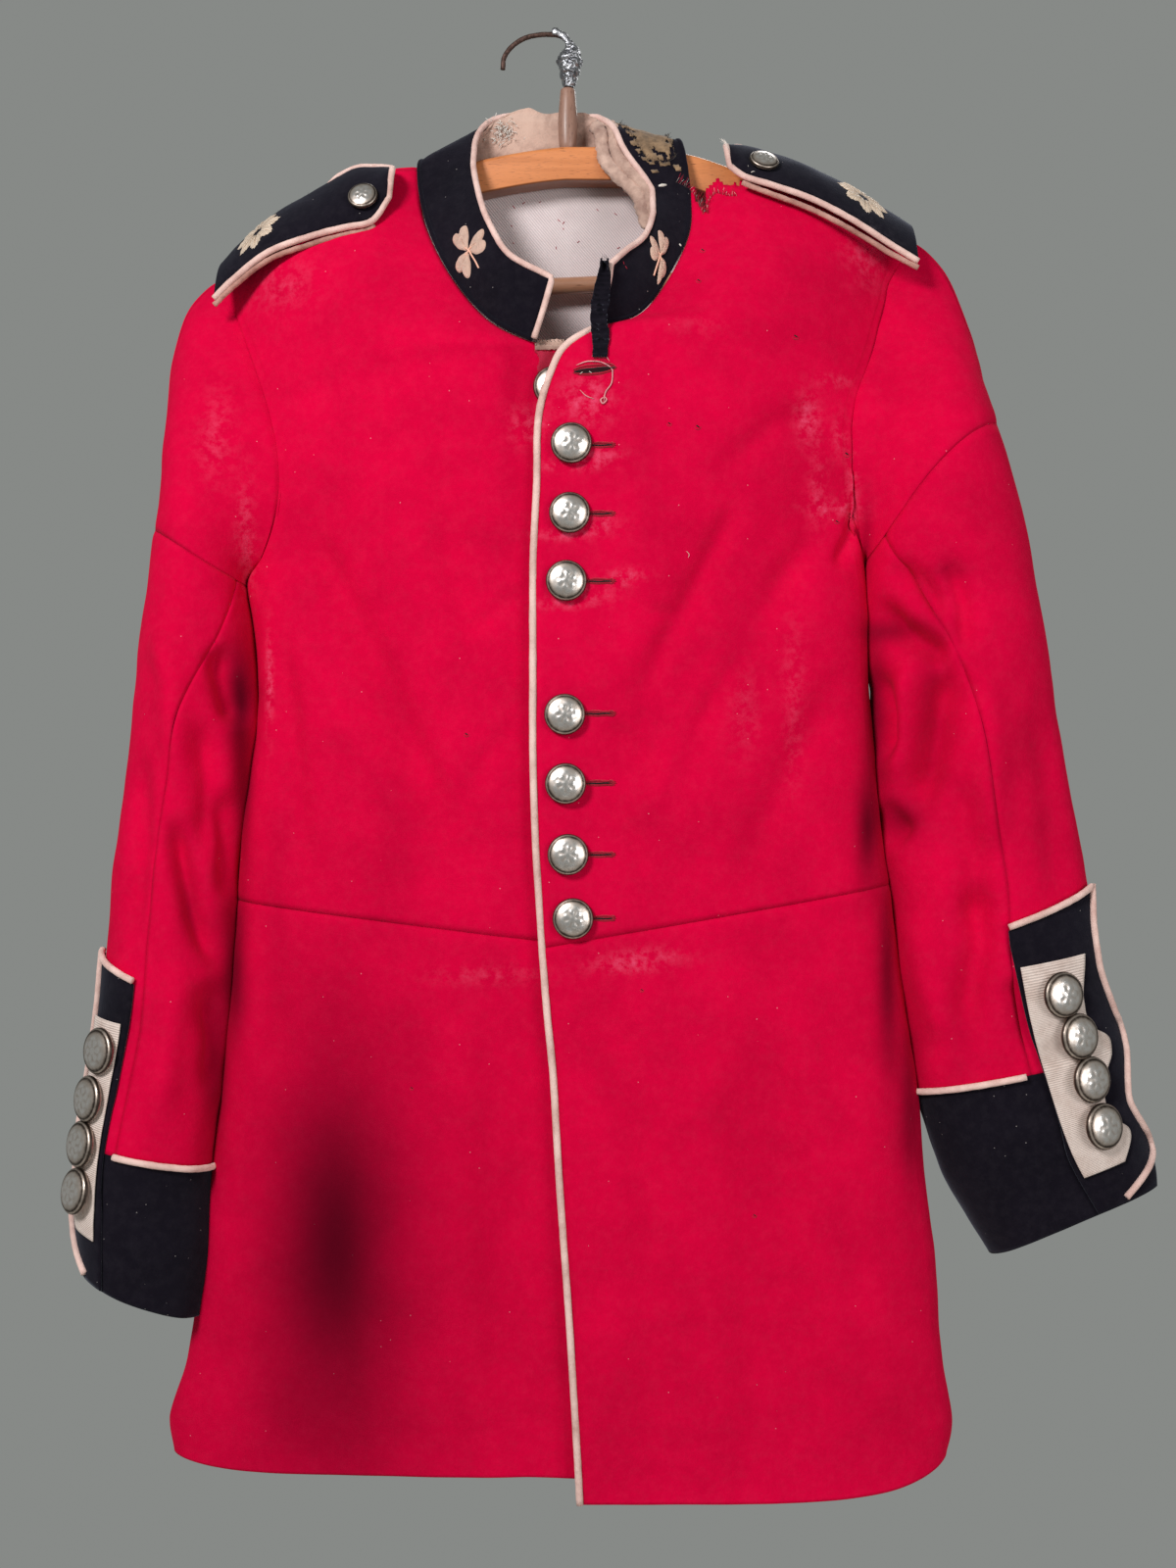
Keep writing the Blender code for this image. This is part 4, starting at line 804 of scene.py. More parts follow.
def bodyPanel(name, node, rows, columns, count, seams, creases, under=0.0, folds=1.0, inside=(5, -20, -350),
              pucker=0.5,
              cut=None):
    top = len(rows) - 1

    def place(u, t):
        return panelPoint(rows, t * top, sidewise(u), folds, under)

    base = edgePress(rows, top, seams, creases, pucker)

    def press(u, t, here):
        return base(sidewise(u), t, here)

    clothPiece(name, columns, count, place, clothSet["wool"], scarletWool, "scarlet_cloth", [node],
               press=press,
               inside=inside, marks=clothMarks, cut=cut)


bodyPanel("leftFront", "front_left", frontLeft, 110, 230, ("out", "bottom"), frontCreases, cut=inTear)
bodyPanel("rightFront", "front_right", frontRight, 84, 190, ("out", "bottom"), frontCreases,
                       under=clothSet["underlap"])
bodyPanel("leftBack", "back_left", backLeft, 70, 150, ("out", "bottom", "top", "in"), backCreases, folds=0,
                     inside=(5, -60, -350), cut=inTear)
bodyPanel("rightBack", "back_right", backRight, 60, 130, ("out", "bottom", "top", "in"), backCreases,
                      folds=0, inside=(5, -60, -350))
bodyPanel("leftSkirt", "skirt_front_left", skirtFrontLeft, 84, 130, ("out", "bottom"), skirtCreases,
                      inside=(5, -20, -750), pucker=0.8)
bodyPanel("rightSkirt", "skirt_front_right", skirtFrontRight, 84, 130, ("out", "bottom"), skirtCreases,
                       under=clothSet["underlap"], inside=(5, -20, -750), pucker=0.8)

backSkirt = {"middle": 4, "top": -575, "hem": -908, "plane": 17}


def backSkirtPoint(u, t):
    # its top edge lies under the backs' lower edge
    t = 1.025 * t - 0.025
    tucked = 2.6 * soft((0.012 - t) / 0.014)
    rows, share = (skirtFrontRight, 1 - 2 * u) if u < 0.5 else (skirtFrontLeft, 2 * u - 1)
    share = 1 - (1 - share) ** 1.9
    out = {axis: along(rows, "out" + axis, 7 * max(t, 0)) for axis in "XYZ"}
    middle = backSkirt["top"] + (backSkirt["hem"] - backSkirt["top"]) * t
    flat = (1 - share**3) ** (1 / 3)
    return Vector((backSkirt["middle"] + (out["X"] - backSkirt["middle"]) * share,
                   out["Y"] + (backSkirt["plane"] - out["Y"]) * flat - tucked,
                   middle + (out["Z"] - middle) * share**1.5))


backSkirtCreases = rowTable(
    creaseColumns + " blunt",
    (((20, -590), (26, -740), (30, -900)), 1.8, 12, 0.3),
    (((90, -600), (104, -740), (110, -890)), -1.5, 16, 0.3),
    (((160, -600), (176, -740), (186, -890)), 1.5, 14, 0.3),
    (((-60, -600), (-74, -740), (-84, -890)), 1.6, 14, 0.3),
    (((-130, -600), (-146, -740), (-160, -890)), -1.4, 16, 0.3),
)


def backSkirtPress(u, t, here):
    edge = min(u, 1 - u) * 2
    total = creaseDepth(backSkirtCreases, here.x, here.z) * 0.9
    total += seamDepth((edge**1.3) * 220) + seamDepth(t * 330 * 0.8)
    return total + 1.2 * rough(here.x, 9, here.z, 60)


clothPiece("backSkirtPanel", 150, 110, backSkirtPoint, clothSet["wool"], scarletWool, "scarlet_cloth",
           ["skirt_back"],
           press=backSkirtPress, inside=(5, -60, -750), marks=clothMarks)
print("body panels made")


# the lining inside the back

liningSet = {"top": -90, "foot": -300, "half": 112}


def liningPoint(u, t):
    x = -liningSet["half"] + 2 * liningSet["half"] * u
    z = liningSet["top"] + (liningSet["foot"] - liningSet["top"]) * t
    here = panelAt(backLeft if x > 4 else backRight, x, min(z, -101))
    return Vector((x, here.y - clothSet["wool"] - 1.0 - 1.2 - 2.4 * soft((z + 118) / 16), z))


clothPiece("backTwillLining", 40, 36, liningPoint, 1.0, whiteTwill, "white_twill", ["back_lining"],
           press=lambda u, t, here: 0.5 * rough(here.x, 2, here.z, 24), inside=(0, 60, -200))


# the stand collar, from the wearer's right front edge round the back to the left front edge

collarRows = rowTable(
    "baseX baseY baseZ topX topY topZ",
    (-10.3, -72, -212, 1, -78, -177),
    (-33.7, -66, -199.2, -24, -72, -162),
    (-52.8, -55, -178, -36, -60, -142),
    (-69, -42, -149.8, -44, -45, -120),
    (-79.8, -27.5, -118.5, -50, -22, -90),
    (-84.3, -12, -87, -50, -8, -72),
    (-80, 3, -80, -46, 4, -58),
    (-64, 14, -83, -37, 12, -50),
    (-30, 16, -94, -18, 15, -46),
    (4, 16, -96, 0, 15, -48),
    (40, 16, -93, 22, 14, -48),
    (66, 14, -71, 34, 10, -50),
    (79, 1, -68, 42, -6, -61),
    (84, -13, -74, 49, -17, -79),
    (88, -24, -108, 66, -29, -108),
    (86, -37, -138, 66, -41, -126),
    (70, -53, -173, 60, -55, -145),
    (54, -62, -194, 48, -68, -158),
    (31, -73, -203, 39, -76, -168),
)
collarSet = {"middle": 9, "centre": Vector((2, -30, -120)), "piping": 1.9, "clear": 2.2}


def collarPoint(at, rise, out=0.0):
    def place(s, h):
        base = Vector([along(collarRows, "base" + axis, s) for axis in "XYZ"])
        top = Vector([along(collarRows, "top" + axis, s) for axis in "XYZ"])
        away = ((base + top) / 2 - collarSet["centre"]).normalized()
        return base.lerp(top, h) + away * (2.5 * 4 * h * (1 - h))

    here = place(at, rise)
    if not out:
        return here
    run = place(min(at + 0.05, 18), rise) - place(max(at - 0.05, 0), rise)
    up = place(at, min(rise + 0.02, 1)) - place(at, max(rise - 0.02, 0))
    normal = run.cross(up).normalized()
    if normal.dot(here - collarSet["centre"]) < 0:
        normal.negate()
    return here + normal * out


def collarPress(u, t, here):
    return 0.5 * rough(here.x, here.y, here.z, 20) + 0.25 * rough(here.x, here.y, here.z, 8) + (
        0.8 * math.exp(-((t * 45 / 2.0) ** 2)))


# the collar's foot runs on behind the neckline, where it is sewn in
def standPoint(at, t):
    rise = -0.07 + 1.07 * t
    return collarPoint(at, rise, 0.01 - 0.9 * soft(1 - (rise + 0.07) / 0.1))


for side, first in (("right", 0), ("left", collarSet["middle"])):
    clothPiece("collar" + side.title(), 90, 30, lambda u, t, f=first: standPoint(f + 9 * u, t),
               clothSet["wool"],
               blackWool, "black_cloth", ["collar_" + side], press=collarPress, inside=(2, -30, -120),
               marks=clothMarks)


def beside(edge, within, behind, clear):
    run = (edge - behind).normalized()
    away = edge - within
    away -= run * away.dot(run)
    return edge + away.normalized() * clear


# the turned-in seam at the collar's foot closes it against the neckline
tubePiece("collarFoot", [collarPoint(18 * k / 180, 0.005, -0.4) for k in range(181)], 1.5, blackWool,
          [],
          sides=10, fuzz=0.1)

for side in ("right", "left"):
    onward = 1 if side == "left" else -1
    opening, nearby = (18, 17.8) if side == "left" else (0, 0.2)
    route = []
    for i in range(61):
        at = collarSet["middle"] + onward * 9 * i / 60
        behind = collarPoint(at - onward * 0.1, 1)
        route.append(beside(collarPoint(at, 1), collarPoint(at, 0.9), behind, collarSet["clear"] - 1.0))
    for rise in (0.97, 0.85, 0.7, 0.55, 0.4, 0.25, 0.1, 0.03):
        edge = collarPoint(opening, rise)
        route.append(beside(edge, collarPoint(nearby, rise), collarPoint(opening, rise - 0.05),
                            collarSet["clear"] - 0.9))
    tubePiece("collarPiping" + side.title(), route, collarSet["piping"], creamPiping,
              ["collar_piping_" + side], sides=12, fuzz=0.12)


# at the back the lining stands up past the piping and rolls over it
def collarLiningPoint(u, t):
    at = 0.3 + 17.4 * u
    back = soft((at - 5.2) / 1.2) * soft((13.0 - at) / 1.2)
    rise = 0.2 + t * (0.74 + back * (0.16 + 0.05 * rough(at * 9, 3, 0, 5)))
    over = back * soft((rise - 0.9) / 0.16)
    return collarPoint(at, rise, -clothSet["wool"] - 0.7 - 1.6 * back * (1 - over) + 2.2 * over)


clothPiece("collarInnerLining", 170, 22, collarLiningPoint, 1.0, collarLining, "cream_lining",
           ["collar_lining"],
           press=lambda u, t, here: soft(t * 4) * (0.4 + 1.8 * abs(rough(here.x, here.y, here.z * 0.4, 7))
                                                   + 0.5 * rough(here.x, here.y, here.z, 4)),
           inside=(2, -30, -120))
# a second roll of lining lies inside the wearer's left edge
for number, (rise, out, size) in enumerate(((1.08, -3.6, 4.2), (1.24, -6.4, 4.4))):
    roll = [collarPoint(10.9 + 4.5 * k / 60, rise - 0.05 * math.sin(k / 7) - 0.14 * abs(k / 30 - 1) ** 3,
                        out + 0.9 * math.sin(k / 5))
            for k in range(61)]
    tubePiece(f"collarLiningRoll{number + 1}", roll, size, collarLining, [], sides=20,
              flat=0.8, fuzz=0.35,
              taper=0.7)
print("collar made")


# sleeves: rings from the cross seam down to the cuff's rim

ringColumns = "x y z wide deep tilt sag"
sleeveRows = {
    "left": rowTable(
        ringColumns,
        (241, -24, -300, 60, 46, 46, 16),
        (256.5, -25, -385, 55.6, 44, 14, 0),
        (262.2, -26, -440, 57.8, 42, 9, 0),
        (268.2, -26, -490, 59.8, 40, 8, 0),
        (278, -26, -545, 61, 39, 10, 0),
        (284.5, -26, -595, 61.6, 37, 10, 0),
        (291, -26, -635, 62, 36, 11, 0),
        (297, -26, -662, 63, 36, 12, 0),
        (312, -26, -712, 60, 36, 17, 0),
        (333, -26, -756, 54, 36, 23, 6),
    ),
    "right": rowTable(
        ringColumns,
        (-220, -24, -341, 34, 44, 31, 0),
        (-222.2, -25, -388, 35.8, 44, 14, 0),
        (-224.5, -26, -437, 38.5, 44, 8, 0),
        (-230, -26, -485, 38, 43, 6, 0),
        (-236.3, -26, -535, 38.7, 42, 6, 0),
        (-240, -26, -585, 39, 42, 7, 0),
        (-243.8, -26, -635, 39.2, 42, 8, 0),
        (-256, -26, -713, 38, 43, 12, 0),
        (-257.7, -26, -757, 40.2, 43, 17, 0),
        (-260, -26, -800, 36, 43, 22, 0),
    ),
}
outward = {"left": 1, "right": -1}
sleeveSet = {"cuffRow": 7, "armpitRow": 5, "backSeam": 0.72, "close": {"left": 4.5, "right": 4.0},
             "cuffClose": {"left": 1, "right": 5}}
frontSeam = {
    "left": [dict(turn=v) for v in (0.40, 0.29, 0.25, 0.24, 0.24, 0.25, 0.25, 0.25)],
    "right": [dict(turn=v) for v in (0.42, 0.33, 0.25, 0.235, 0.225, 0.225, 0.225, 0.21)],
}
frontRows = {"left": frontLeft, "right": frontRight}
backRows = {"left": backLeft, "right": backRight}


def sleevePoint(side, at, turn, out=0.0):
    v = {name: along(sleeveRows[side], name, at) for name in ringColumns.split()}
    angle = 2 * math.pi * turn
    tilt = math.radians(v["tilt"])
    across = Vector((outward[side] * math.cos(tilt), 0, math.sin(tilt)))
    centre = Vector((v["x"], v["y"], v["z"] + v["sag"] * max(math.sin(angle), 0) ** 2))
    near = sleeveSet["close"][side] * soft(at / 1.2) + sleeveSet["cuffClose"][side] * soft((at - 5) / 3)
    centre -= across * near * soft(-math.cos(angle) * 1.3)
    return centre + across * ((v["wide"] + out) * math.cos(angle)) + Vector((0, -(v["deep"]
                                                                                  + out) * math.sin(angle),
                                                                                  0))


def armholePoint(side, turn):
    rows = frontRows[side] if turn <= 0.5 else backRows[side]
    share = turn * 2 if turn <= 0.5 else (1 - turn) * 2
    at = len(rows) - 1 + (sleeveSet["armpitRow"] - len(rows) + 1) * share
    return Vector([along(rows, "out" + axis, at) for axis in "XYZ"])


def headPoint(side, t, turn):
    start, end = armholePoint(side, turn), sleevePoint(side, 0, turn)
    below = sleevePoint(side, 0.2, turn)
    reach = (end - start).length
    out = Vector((outward[side], -0.25 * math.sin(2 * math.pi * turn), -0.5)).normalized()
    leave, arrive = out * reach * 0.9, (below - end).normalized() * reach
    s = 1 - t
    return (start * ((1 + 2 * t) * s * s) + leave * (t * s * s) + end * (t * t * (3 - 2 * t))
            - arrive * (t * t * s))


# the head's first few millimetres lie under the body panels' edge
def headGrid(side, t, turn):
    t = 1.06 * t - 0.06
    here = headPoint(side, max(t, 0), turn)
    middle = (armholePoint(side, 0.0) + armholePoint(side, 0.5)) / 2
    here -= Vector((outward[side], 0, -0.3)) * 4.0 * max(-t / 0.06, 0)
    return here + (middle - here).normalized() * 1.6 * soft((0.03 - t) / 0.06)


def atRise(side, rise):
    rows = sleeveRows[side]
    left = rise
    for k in range(len(rows) - 1, 0, -1):
        a, b = rows[k], rows[k - 1]
        step = math.dist((a["x"], a["z"]), (b["x"], b["z"]))
        if left <= step:
            return k - left / step
        left -= step
    return 0.0


sleeveCreases = {
    "left": rowTable(
        creaseColumns,
        (((198, -366), (214, -388), (236, -402), (248, -404)), 7.0, 8),
        (((246, -402), (240, -436), (234, -470), (222, -514)), 8.0, 11),
        (((198, -408), (208, -440), (210, -474)), 6.5, 8),
        (((200, -496), (210, -508), (224, -520)), 6.5, 9),
        (((210, -346), (228, -360), (246, -384)), 4.0, 7),
        (((243, -340), (254, -372), (256, -410)), 3.4, 6),
        (((222, -400), (218, -440), (214, -492)), -3.5, 6),
        (((262, -400), (270, -470), (264, -540)), -3.0, 12),
        (((250, -470), (262, -530), (258, -590)), 3.0, 9),
        (((262, -540), (266, -580), (248, -656)), 5.0, 10),
        (((300, -420), (312, -500), (318, -580)), 2.0, 12),
        (((282, -600), (290, -620), (300, -650)), 2.4, 8),
        (((224, -560), (236, -610), (252, -650)), -3.0, 11),
    ),
    "right": rowTable(
        creaseColumns,
        (((-232, -500), (-224, -530), (-216, -566), (-200, -606)), 6.0, 7),
        (((-206, -396), (-197, -424), (-190, -450)), 6.0, 8),
        (((-252, -450), (-250, -520), (-256, -588)), 2.6, 8),
        (((-214, -440), (-208, -480), (-212, -540)), 3.4, 8),
        (((-240, -380), (-230, -420), (-226, -490)), -2.8, 9),
        (((-212, -600), (-204, -640), (-206, -680)), 5.0, 8),
        (((-226, -590), (-232, -640), (-240, -700)), -2.6, 9),
        (((-200, -480), (-196, -520), (-198, -560)), 4.0, 7),
    ),
}


def sleevePress(side, seamAt):
    def press(u, t, here):
        share = 0.25 + 0.75 * soft((abs(here.y + 26) - 8) / 18)
        total = creaseDepth(sleeveCreases[side], here.x, here.z) * share * creaseSet["sleeve"]
        total += 1.3 * rough(here.x, here.y, here.z, 42) + 0.4 * rough(here.x, here.y + 90, here.z, 16)
        for edge in seamAt(u, t):
            total += seamDepth(edge)
        return total
    return press


for side in ("left", "right"):
    axis = Vector((sleeveRows[side][0]["x"] - outward[side] * 20, -22, -300))
    clothPiece("sleeveHead" + side.title(), 120, 44, lambda u, t, s=side: headGrid(s, t, u), clothSet["wool"],
               scarletWool, "scarlet_cloth", ["sleeve_head_" + side],
               press=sleevePress(side, lambda u, t: (abs(t - 0.057) * 90, (1 - t) * 90)), inside=axis,
               closed=True, marks=clothMarks)
    inside = (sleeveRows[side][3]["x"], -26, sleeveRows[side][3]["z"])

    def topPoint(u, t, s=side):
        at = sleeveSet["cuffRow"] * t
        front = along(frontSeam[s], "turn", at)
        return sleevePoint(s, at, sleeveSet["backSeam"] - 1 + (front - sleeveSet["backSeam"] + 1) * u)

    def underPoint(u, t, s=side):
        at = sleeveSet["cuffRow"] * t
        front = along(frontSeam[s], "turn", at)
        return sleevePoint(s, at, front + (sleeveSet["backSeam"] - front) * u)

    for name, place, node, columns in (("sleeveTop", topPoint, "sleeve_top_", 64),
                                       ("sleeveUnder", underPoint, "sleeve_under_", 52)):
        clothPiece(name + side.title(), columns, 130, place, clothSet["wool"], scarletWool, "scarlet_cloth",
                   [node + side], press=sleevePress(side, lambda u, t: (u * 130, (1 - u) * 130, t * 330)),
                   inside=inside, marks=clothMarks)
print("sleeves made")


# cuffs and their scalloped slashes

slashRows = rowTable(
    "rise start end left right",
    (1, 0.235, 0.07, 0, 0),
    (28, 0.235, 0.005, 2, 11),
    (46, 0.235, 0.045, 2, 4),
    (66, 0.23, 0.075, 1.2, 0),
    (82, 0.23, 0.06, 1.6, 1),
    (112, 0.235, 0.01, 2.4, 6),
    (128, 0.24, 0.04, 1.6, 2),
    (158, 0.245, 0.075, 1, 0),
    (184, 0.25, 0.075, 1, 0),
    (206, 0.25, 0.06, 1, 0),
)
faceRows = rowTable(
    "rise start end left right",
    (30, 0.205, 0.125, 0, 0),
    (48, 0.206, 0.085, 0, 0),
    (64, 0.208, 0.125, 0, 0),
    (84, 0.210, 0.118, 0, 0),
    (108, 0.212, 0.075, 0, 0),
    (124, 0.214, 0.115, 0, 0),
    (142, 0.216, 0.120, 0, 0),
    (168, 0.218, 0.10, 0, 0),
)
slashSet = {"turn": {"left": 0.0, "right": -0.05}, "out": 1.05, "slant": 14.0, "clear": 4.4, "piping": 2.1,
            "end": 0.92, "inset": {"left": -1.8, "right": -1.0},
            "faceTurn": {"left": 0.022, "right": 0.012}}
cuffButtons = rowTable("rise turn left right", (148, 0.185, 3.3, 2.6), (119, 0.172, 3.6, 2.6),
                       (89, 0.17, 3.6, 3.0),
                       (59, 0.17, 3.6, 4.0))


def slashPoint(side, rows, at, share, out):
    shift = slashSet["turn"][side] + (slashSet["faceTurn"][side] if rows is faceRows else 0)
    start, end = along(rows, "start", at) + shift, along(rows, "end", at) + shift
    rise = along(rows, "rise", at)
    if rows is slashRows:
        rise -= slashSet["slant"] * (1 - share) * max(at - len(rows) + 2, 0)
    proud = along(rows, side, at) * share**5
    return sleevePoint(side, atRise(side, rise), start + (end - start) * share, out + proud)


for side in ("left", "right"):
    rim = len(sleeveRows[side]) - 1
    inside = (sleeveRows[side][8]["x"], -26, sleeveRows[side][8]["z"])
    clothPiece("cuffBand" + side.title(), 120, 40,
               lambda u, t, s=side, r=rim: sleevePoint(s, sleeveSet["cuffRow"]
                                                       + (r - sleeveSet["cuffRow"]) * t, u),
               clothSet["wool"], blackWool, "black_cloth", ["cuff_" + side],
               press=lambda u, t, here: 1.1 * rough(here.x, here.y, here.z, 34) + 0.3 * rough(here.x, here.y,
                                                                                              here.z, 11),
               inside=inside, closed=True, marks=clothMarks)
    middle = (sleeveRows[side][7]["x"], -26, sleeveRows[side][7]["z"])
    clothPiece("slash" + side.title(), 26, 90,
               lambda u, t, s=side: slashPoint(s, slashRows, t * 9, u, slashSet["out"] + clothSet["trim"]),
               clothSet["trim"], blackWool, "black_cloth", ["slash_" + side], inside=middle, marks=clothMarks)
    clothPiece("slashFace" + side.title(), 20, 70,
               lambda u, t, s=side: slashPoint(s, faceRows, t * 7, u, slashSet["out"] + clothSet["trim"]
                                               + 2.0),
               0.8, ribbedWhite, "white_facing", ["slash_face_" + side], inside=middle,
               press=lambda u, t, here: 0.3 * rough(here.x, here.y, here.z, 10))
    begin = slashRows[3]["start"] + slashSet["turn"][side] + 0.03
    ring = [sleevePoint(side, sleeveSet["cuffRow"], begin + (slashSet["end"] - begin) * k / 80,
                        slashSet["piping"] + 0.3)
            for k in range(81)]
    tubePiece("cuffPiping" + side.title(), ring, slashSet["piping"], creamPiping,
              ["cuff_piping_" + side], sides=12, fuzz=0.12)
    # the piping runs along the flap's foot to its point, then up the scalloped edge
    line = [slashPoint(side, slashRows, 0.15 + 0.7 * k / 14, 0.34 + 0.58 * k / 14, slashSet["piping"] + 1.6)
            for k in range(15)]
    for k in range(10, 91):
        here, near = (slashPoint(side, slashRows, 9 * k / 90, share, slashSet["piping"] + 1.6)
                      for share in (0.985, 0.95))
        line.append(here + (here - near).normalized() * slashSet["inset"][side])
    for k in range(20, -1, -1):
        line.append(slashPoint(side, slashRows, 9, k / 20, slashSet["piping"] + 0.8)
                    + Vector((0, 0, slashSet["clear"] - 2)))
    tubePiece("slashPiping" + side.title(), line, slashSet["piping"], creamPiping,
              ["slash_piping_" + side], sides=12, fuzz=0.12)
print("cuffs made")


# buttons: a stamped dome with a rolled rim and a plain rosette of the maker's own

buttonSet = {"front": 25.0, "cuff": 28.5, "strap": 19.0, "steps": 56, "petals": 6}


def rosette(share, angle):
    petal = 0.5 + 0.5 * math.cos(buttonSet["petals"] * angle)
    ring = math.exp(-(((share - 0.34) / 0.10) ** 2)) * petal * 0.55
    star = math.exp(-(((share - 0.55) / 0.07) ** 2)) * (1 - petal) * 0.35
    boss = math.exp(-((share / 0.13) ** 2)) * 0.5
    lip = math.exp(-(((share - 0.93) / 0.035) ** 2)) * 0.35
    return ring + star + boss + lip


def addButton(name, place, ahead, across, node, spinBy):
    radius = across / 2
    tall = across * 0.24
    mesh = bmesh.new()
    profile = [(radius * math.sin(a), tall * 0.3 + tall * 0.7 * math.cos(a)) for a in [1.25 * k / 15
                                                                                       for k in range(16)]]
    profile += [(radius * 0.985, tall * 0.46), (radius, tall * 0.36), (radius, tall * 0.2),
                (radius * 0.96, tall * 0.08),
                (radius * 0.86, 0), (0, 0)]
    verts = [mesh.verts.new((r * mm, 0, h * mm)) for r, h in profile]
    edges = [mesh.edges.new(pair) for pair in zip(verts, verts[1:])]
    bmesh.ops.spin(mesh, geom=verts + edges, cent=(0, 0, 0), axis=(0, 0, 1), angle=2 * math.pi,
                   steps=buttonSet["steps"], use_merge=True)
    bmesh.ops.remove_doubles(mesh, verts=mesh.verts, dist=0.00001)
    bmesh.ops.recalc_face_normals(mesh, faces=mesh.faces)
    hollowGrimeAndRimShade = mesh.verts.layers.float.new("hollowGrimeAndRimShade")
    for vert in mesh.verts:
        share = math.hypot(vert.co.x, vert.co.y) / (radius * mm)
        if vert.co.z > tall * mm * 0.3:
            height = rosette(share, math.atan2(vert.co.y, vert.co.x) + spinBy)
            # grime in the rosette's low ground, plus a painted dark reflection towards the rim
            vert[hollowGrimeAndRimShade] = max(0.0, 0.34 - height * 1.2) + 0.5 * soft((share - 0.7) / 0.2)
            vert.co.z += height * 0.6 * mm
            vert.co.z = min(vert.co.z, tall * mm * 1.12)
        else:
            # painted dark reflection on the rim's sides and underside
            vert[hollowGrimeAndRimShade] = 0.5
    turn = ahead.to_track_quat("Z", "Y").to_matrix().to_4x4()
    bmesh.ops.transform(mesh, matrix=Matrix.Translation(place * mm) @ turn, verts=mesh.verts)
    return finishPiece(name, mesh, buttonMetal, [node])


for number, spot in enumerate(buttonSpots, 1):
    if number == 1:
        place = panelAt(frontRight, spot["x"], spot["z"], 1.0, clothSet["underlap"]) + Vector((0, -3.5, 0))
    else:
        place = panelAt(frontLeft, spot["x"], spot["z"], 1.0) + Vector((0, -1.1, 0))
    addButton(f"frontButton{number}", place, Vector((0, -1, 0.03)).normalized(), buttonSet["front"],
              f"front_button_{number}", number * 0.7)
for side in ("left", "right"):
    for number, spot in enumerate(cuffButtons, 1):
        at, turn = atRise(side, spot["rise"]), spot["turn"] + slashSet["turn"][side]
        place = sleevePoint(side, at, turn, slashSet["out"] + clothSet["trim"] + spot[side])
        ahead = (sleevePoint(side, at, turn, 20) - place).normalized()
        addButton(f"cuffButton{side.title()}{number}", place, ahead, buttonSet["cuff"],
                  f"cuff_button_{side}_{number}",
                  number * 0.9)
print("buttons made")


# the front's piping

frontPipingSet = {"radius": 2.2}
upper = [panelPoint(frontLeft, 12.1 - 12.1 * i / 90, 0) for i in range(91)]
lower = [panelPoint(skirtFrontLeft, 0.02 + 6.98 * i / 70, 0) for i in range(71)]
edge = [p + Vector((-frontPipingSet["radius"] + 0.3, 0.3, 0)) for p in upper + lower]
tubePiece("frontPiping", edge, frontPipingSet["radius"], creamPiping, ["front_piping"],
          sides=14, fuzz=0.1)


# shoulder straps with their stars, and the collar's leaf sprigs

strapRows = {
    "right": rowTable(
        "x y z slope half",
        (-101, -30.8, -102, 58, 12),
        (-111, -29.8, -109, 58, 23),
        (-127, -27.8, -111, 56, 26),
        (-150, -24.0, -119, 49, 25),
        (-177, -20.6, -131, 43, 24),
        (-200, -19, -149, 42, 24),
        (-211, -18, -160, 42, 23),
    ),
    "left": rowTable(
        "x y z slope half",
        (114, -18, -81.6, 40, 12),
        (123, -18, -84.6, 40, 22),
        (140, -18, -89.2, 40, 24),
        (165, -18.2, -98, 40, 24),
        (190, -18, -110.4, 41, 24),
        (214, -17, -125, 42, 24),
        (232, -16, -136, 42, 23),
    ),
}
strapSet = {"button": {"left": 1.75, "right": 1.4}, "across": 0.4, "buttonOut": {"left": 0.5, "right": 1.0},
            "bare": {"left": 0.9, "right": 2.4}, "second": {"left": 3.2, "right": 1.0},
            "star": {"left": 4.4, "right": 4.35}, "starAcross": {"left": -0.22, "right": -0.03},
            "starRadius": {"left": 18.5, "right": 17.0}}


def strapPoint(side, at, across, out=0.0):
    v = {name: along(strapRows[side], name, at) for name in ("x", "y", "z", "slope", "half")}
    slope = math.radians(v["slope"])
    ahead = Vector((0, -math.cos(slope), -math.sin(slope)))
    up = Vector((0, -math.sin(slope), math.cos(slope)))
    return Vector((v["x"], v["y"], v["z"])) + ahead * (v["half"] * across) + up * (5 * (1 - across * across)
                                                                                   + out)


# the strap's cloth, its back edge worn ragged
def strapGrid(side, at, across):
    worn = soft((-across - 0.86) / 0.12) * soft((at - 1.6) / 1.0)
    return strapPoint(side, at, across + worn * 0.07 * (rough(at * 30, 5, 0, 3) - 0.2), -0.4 * worn)


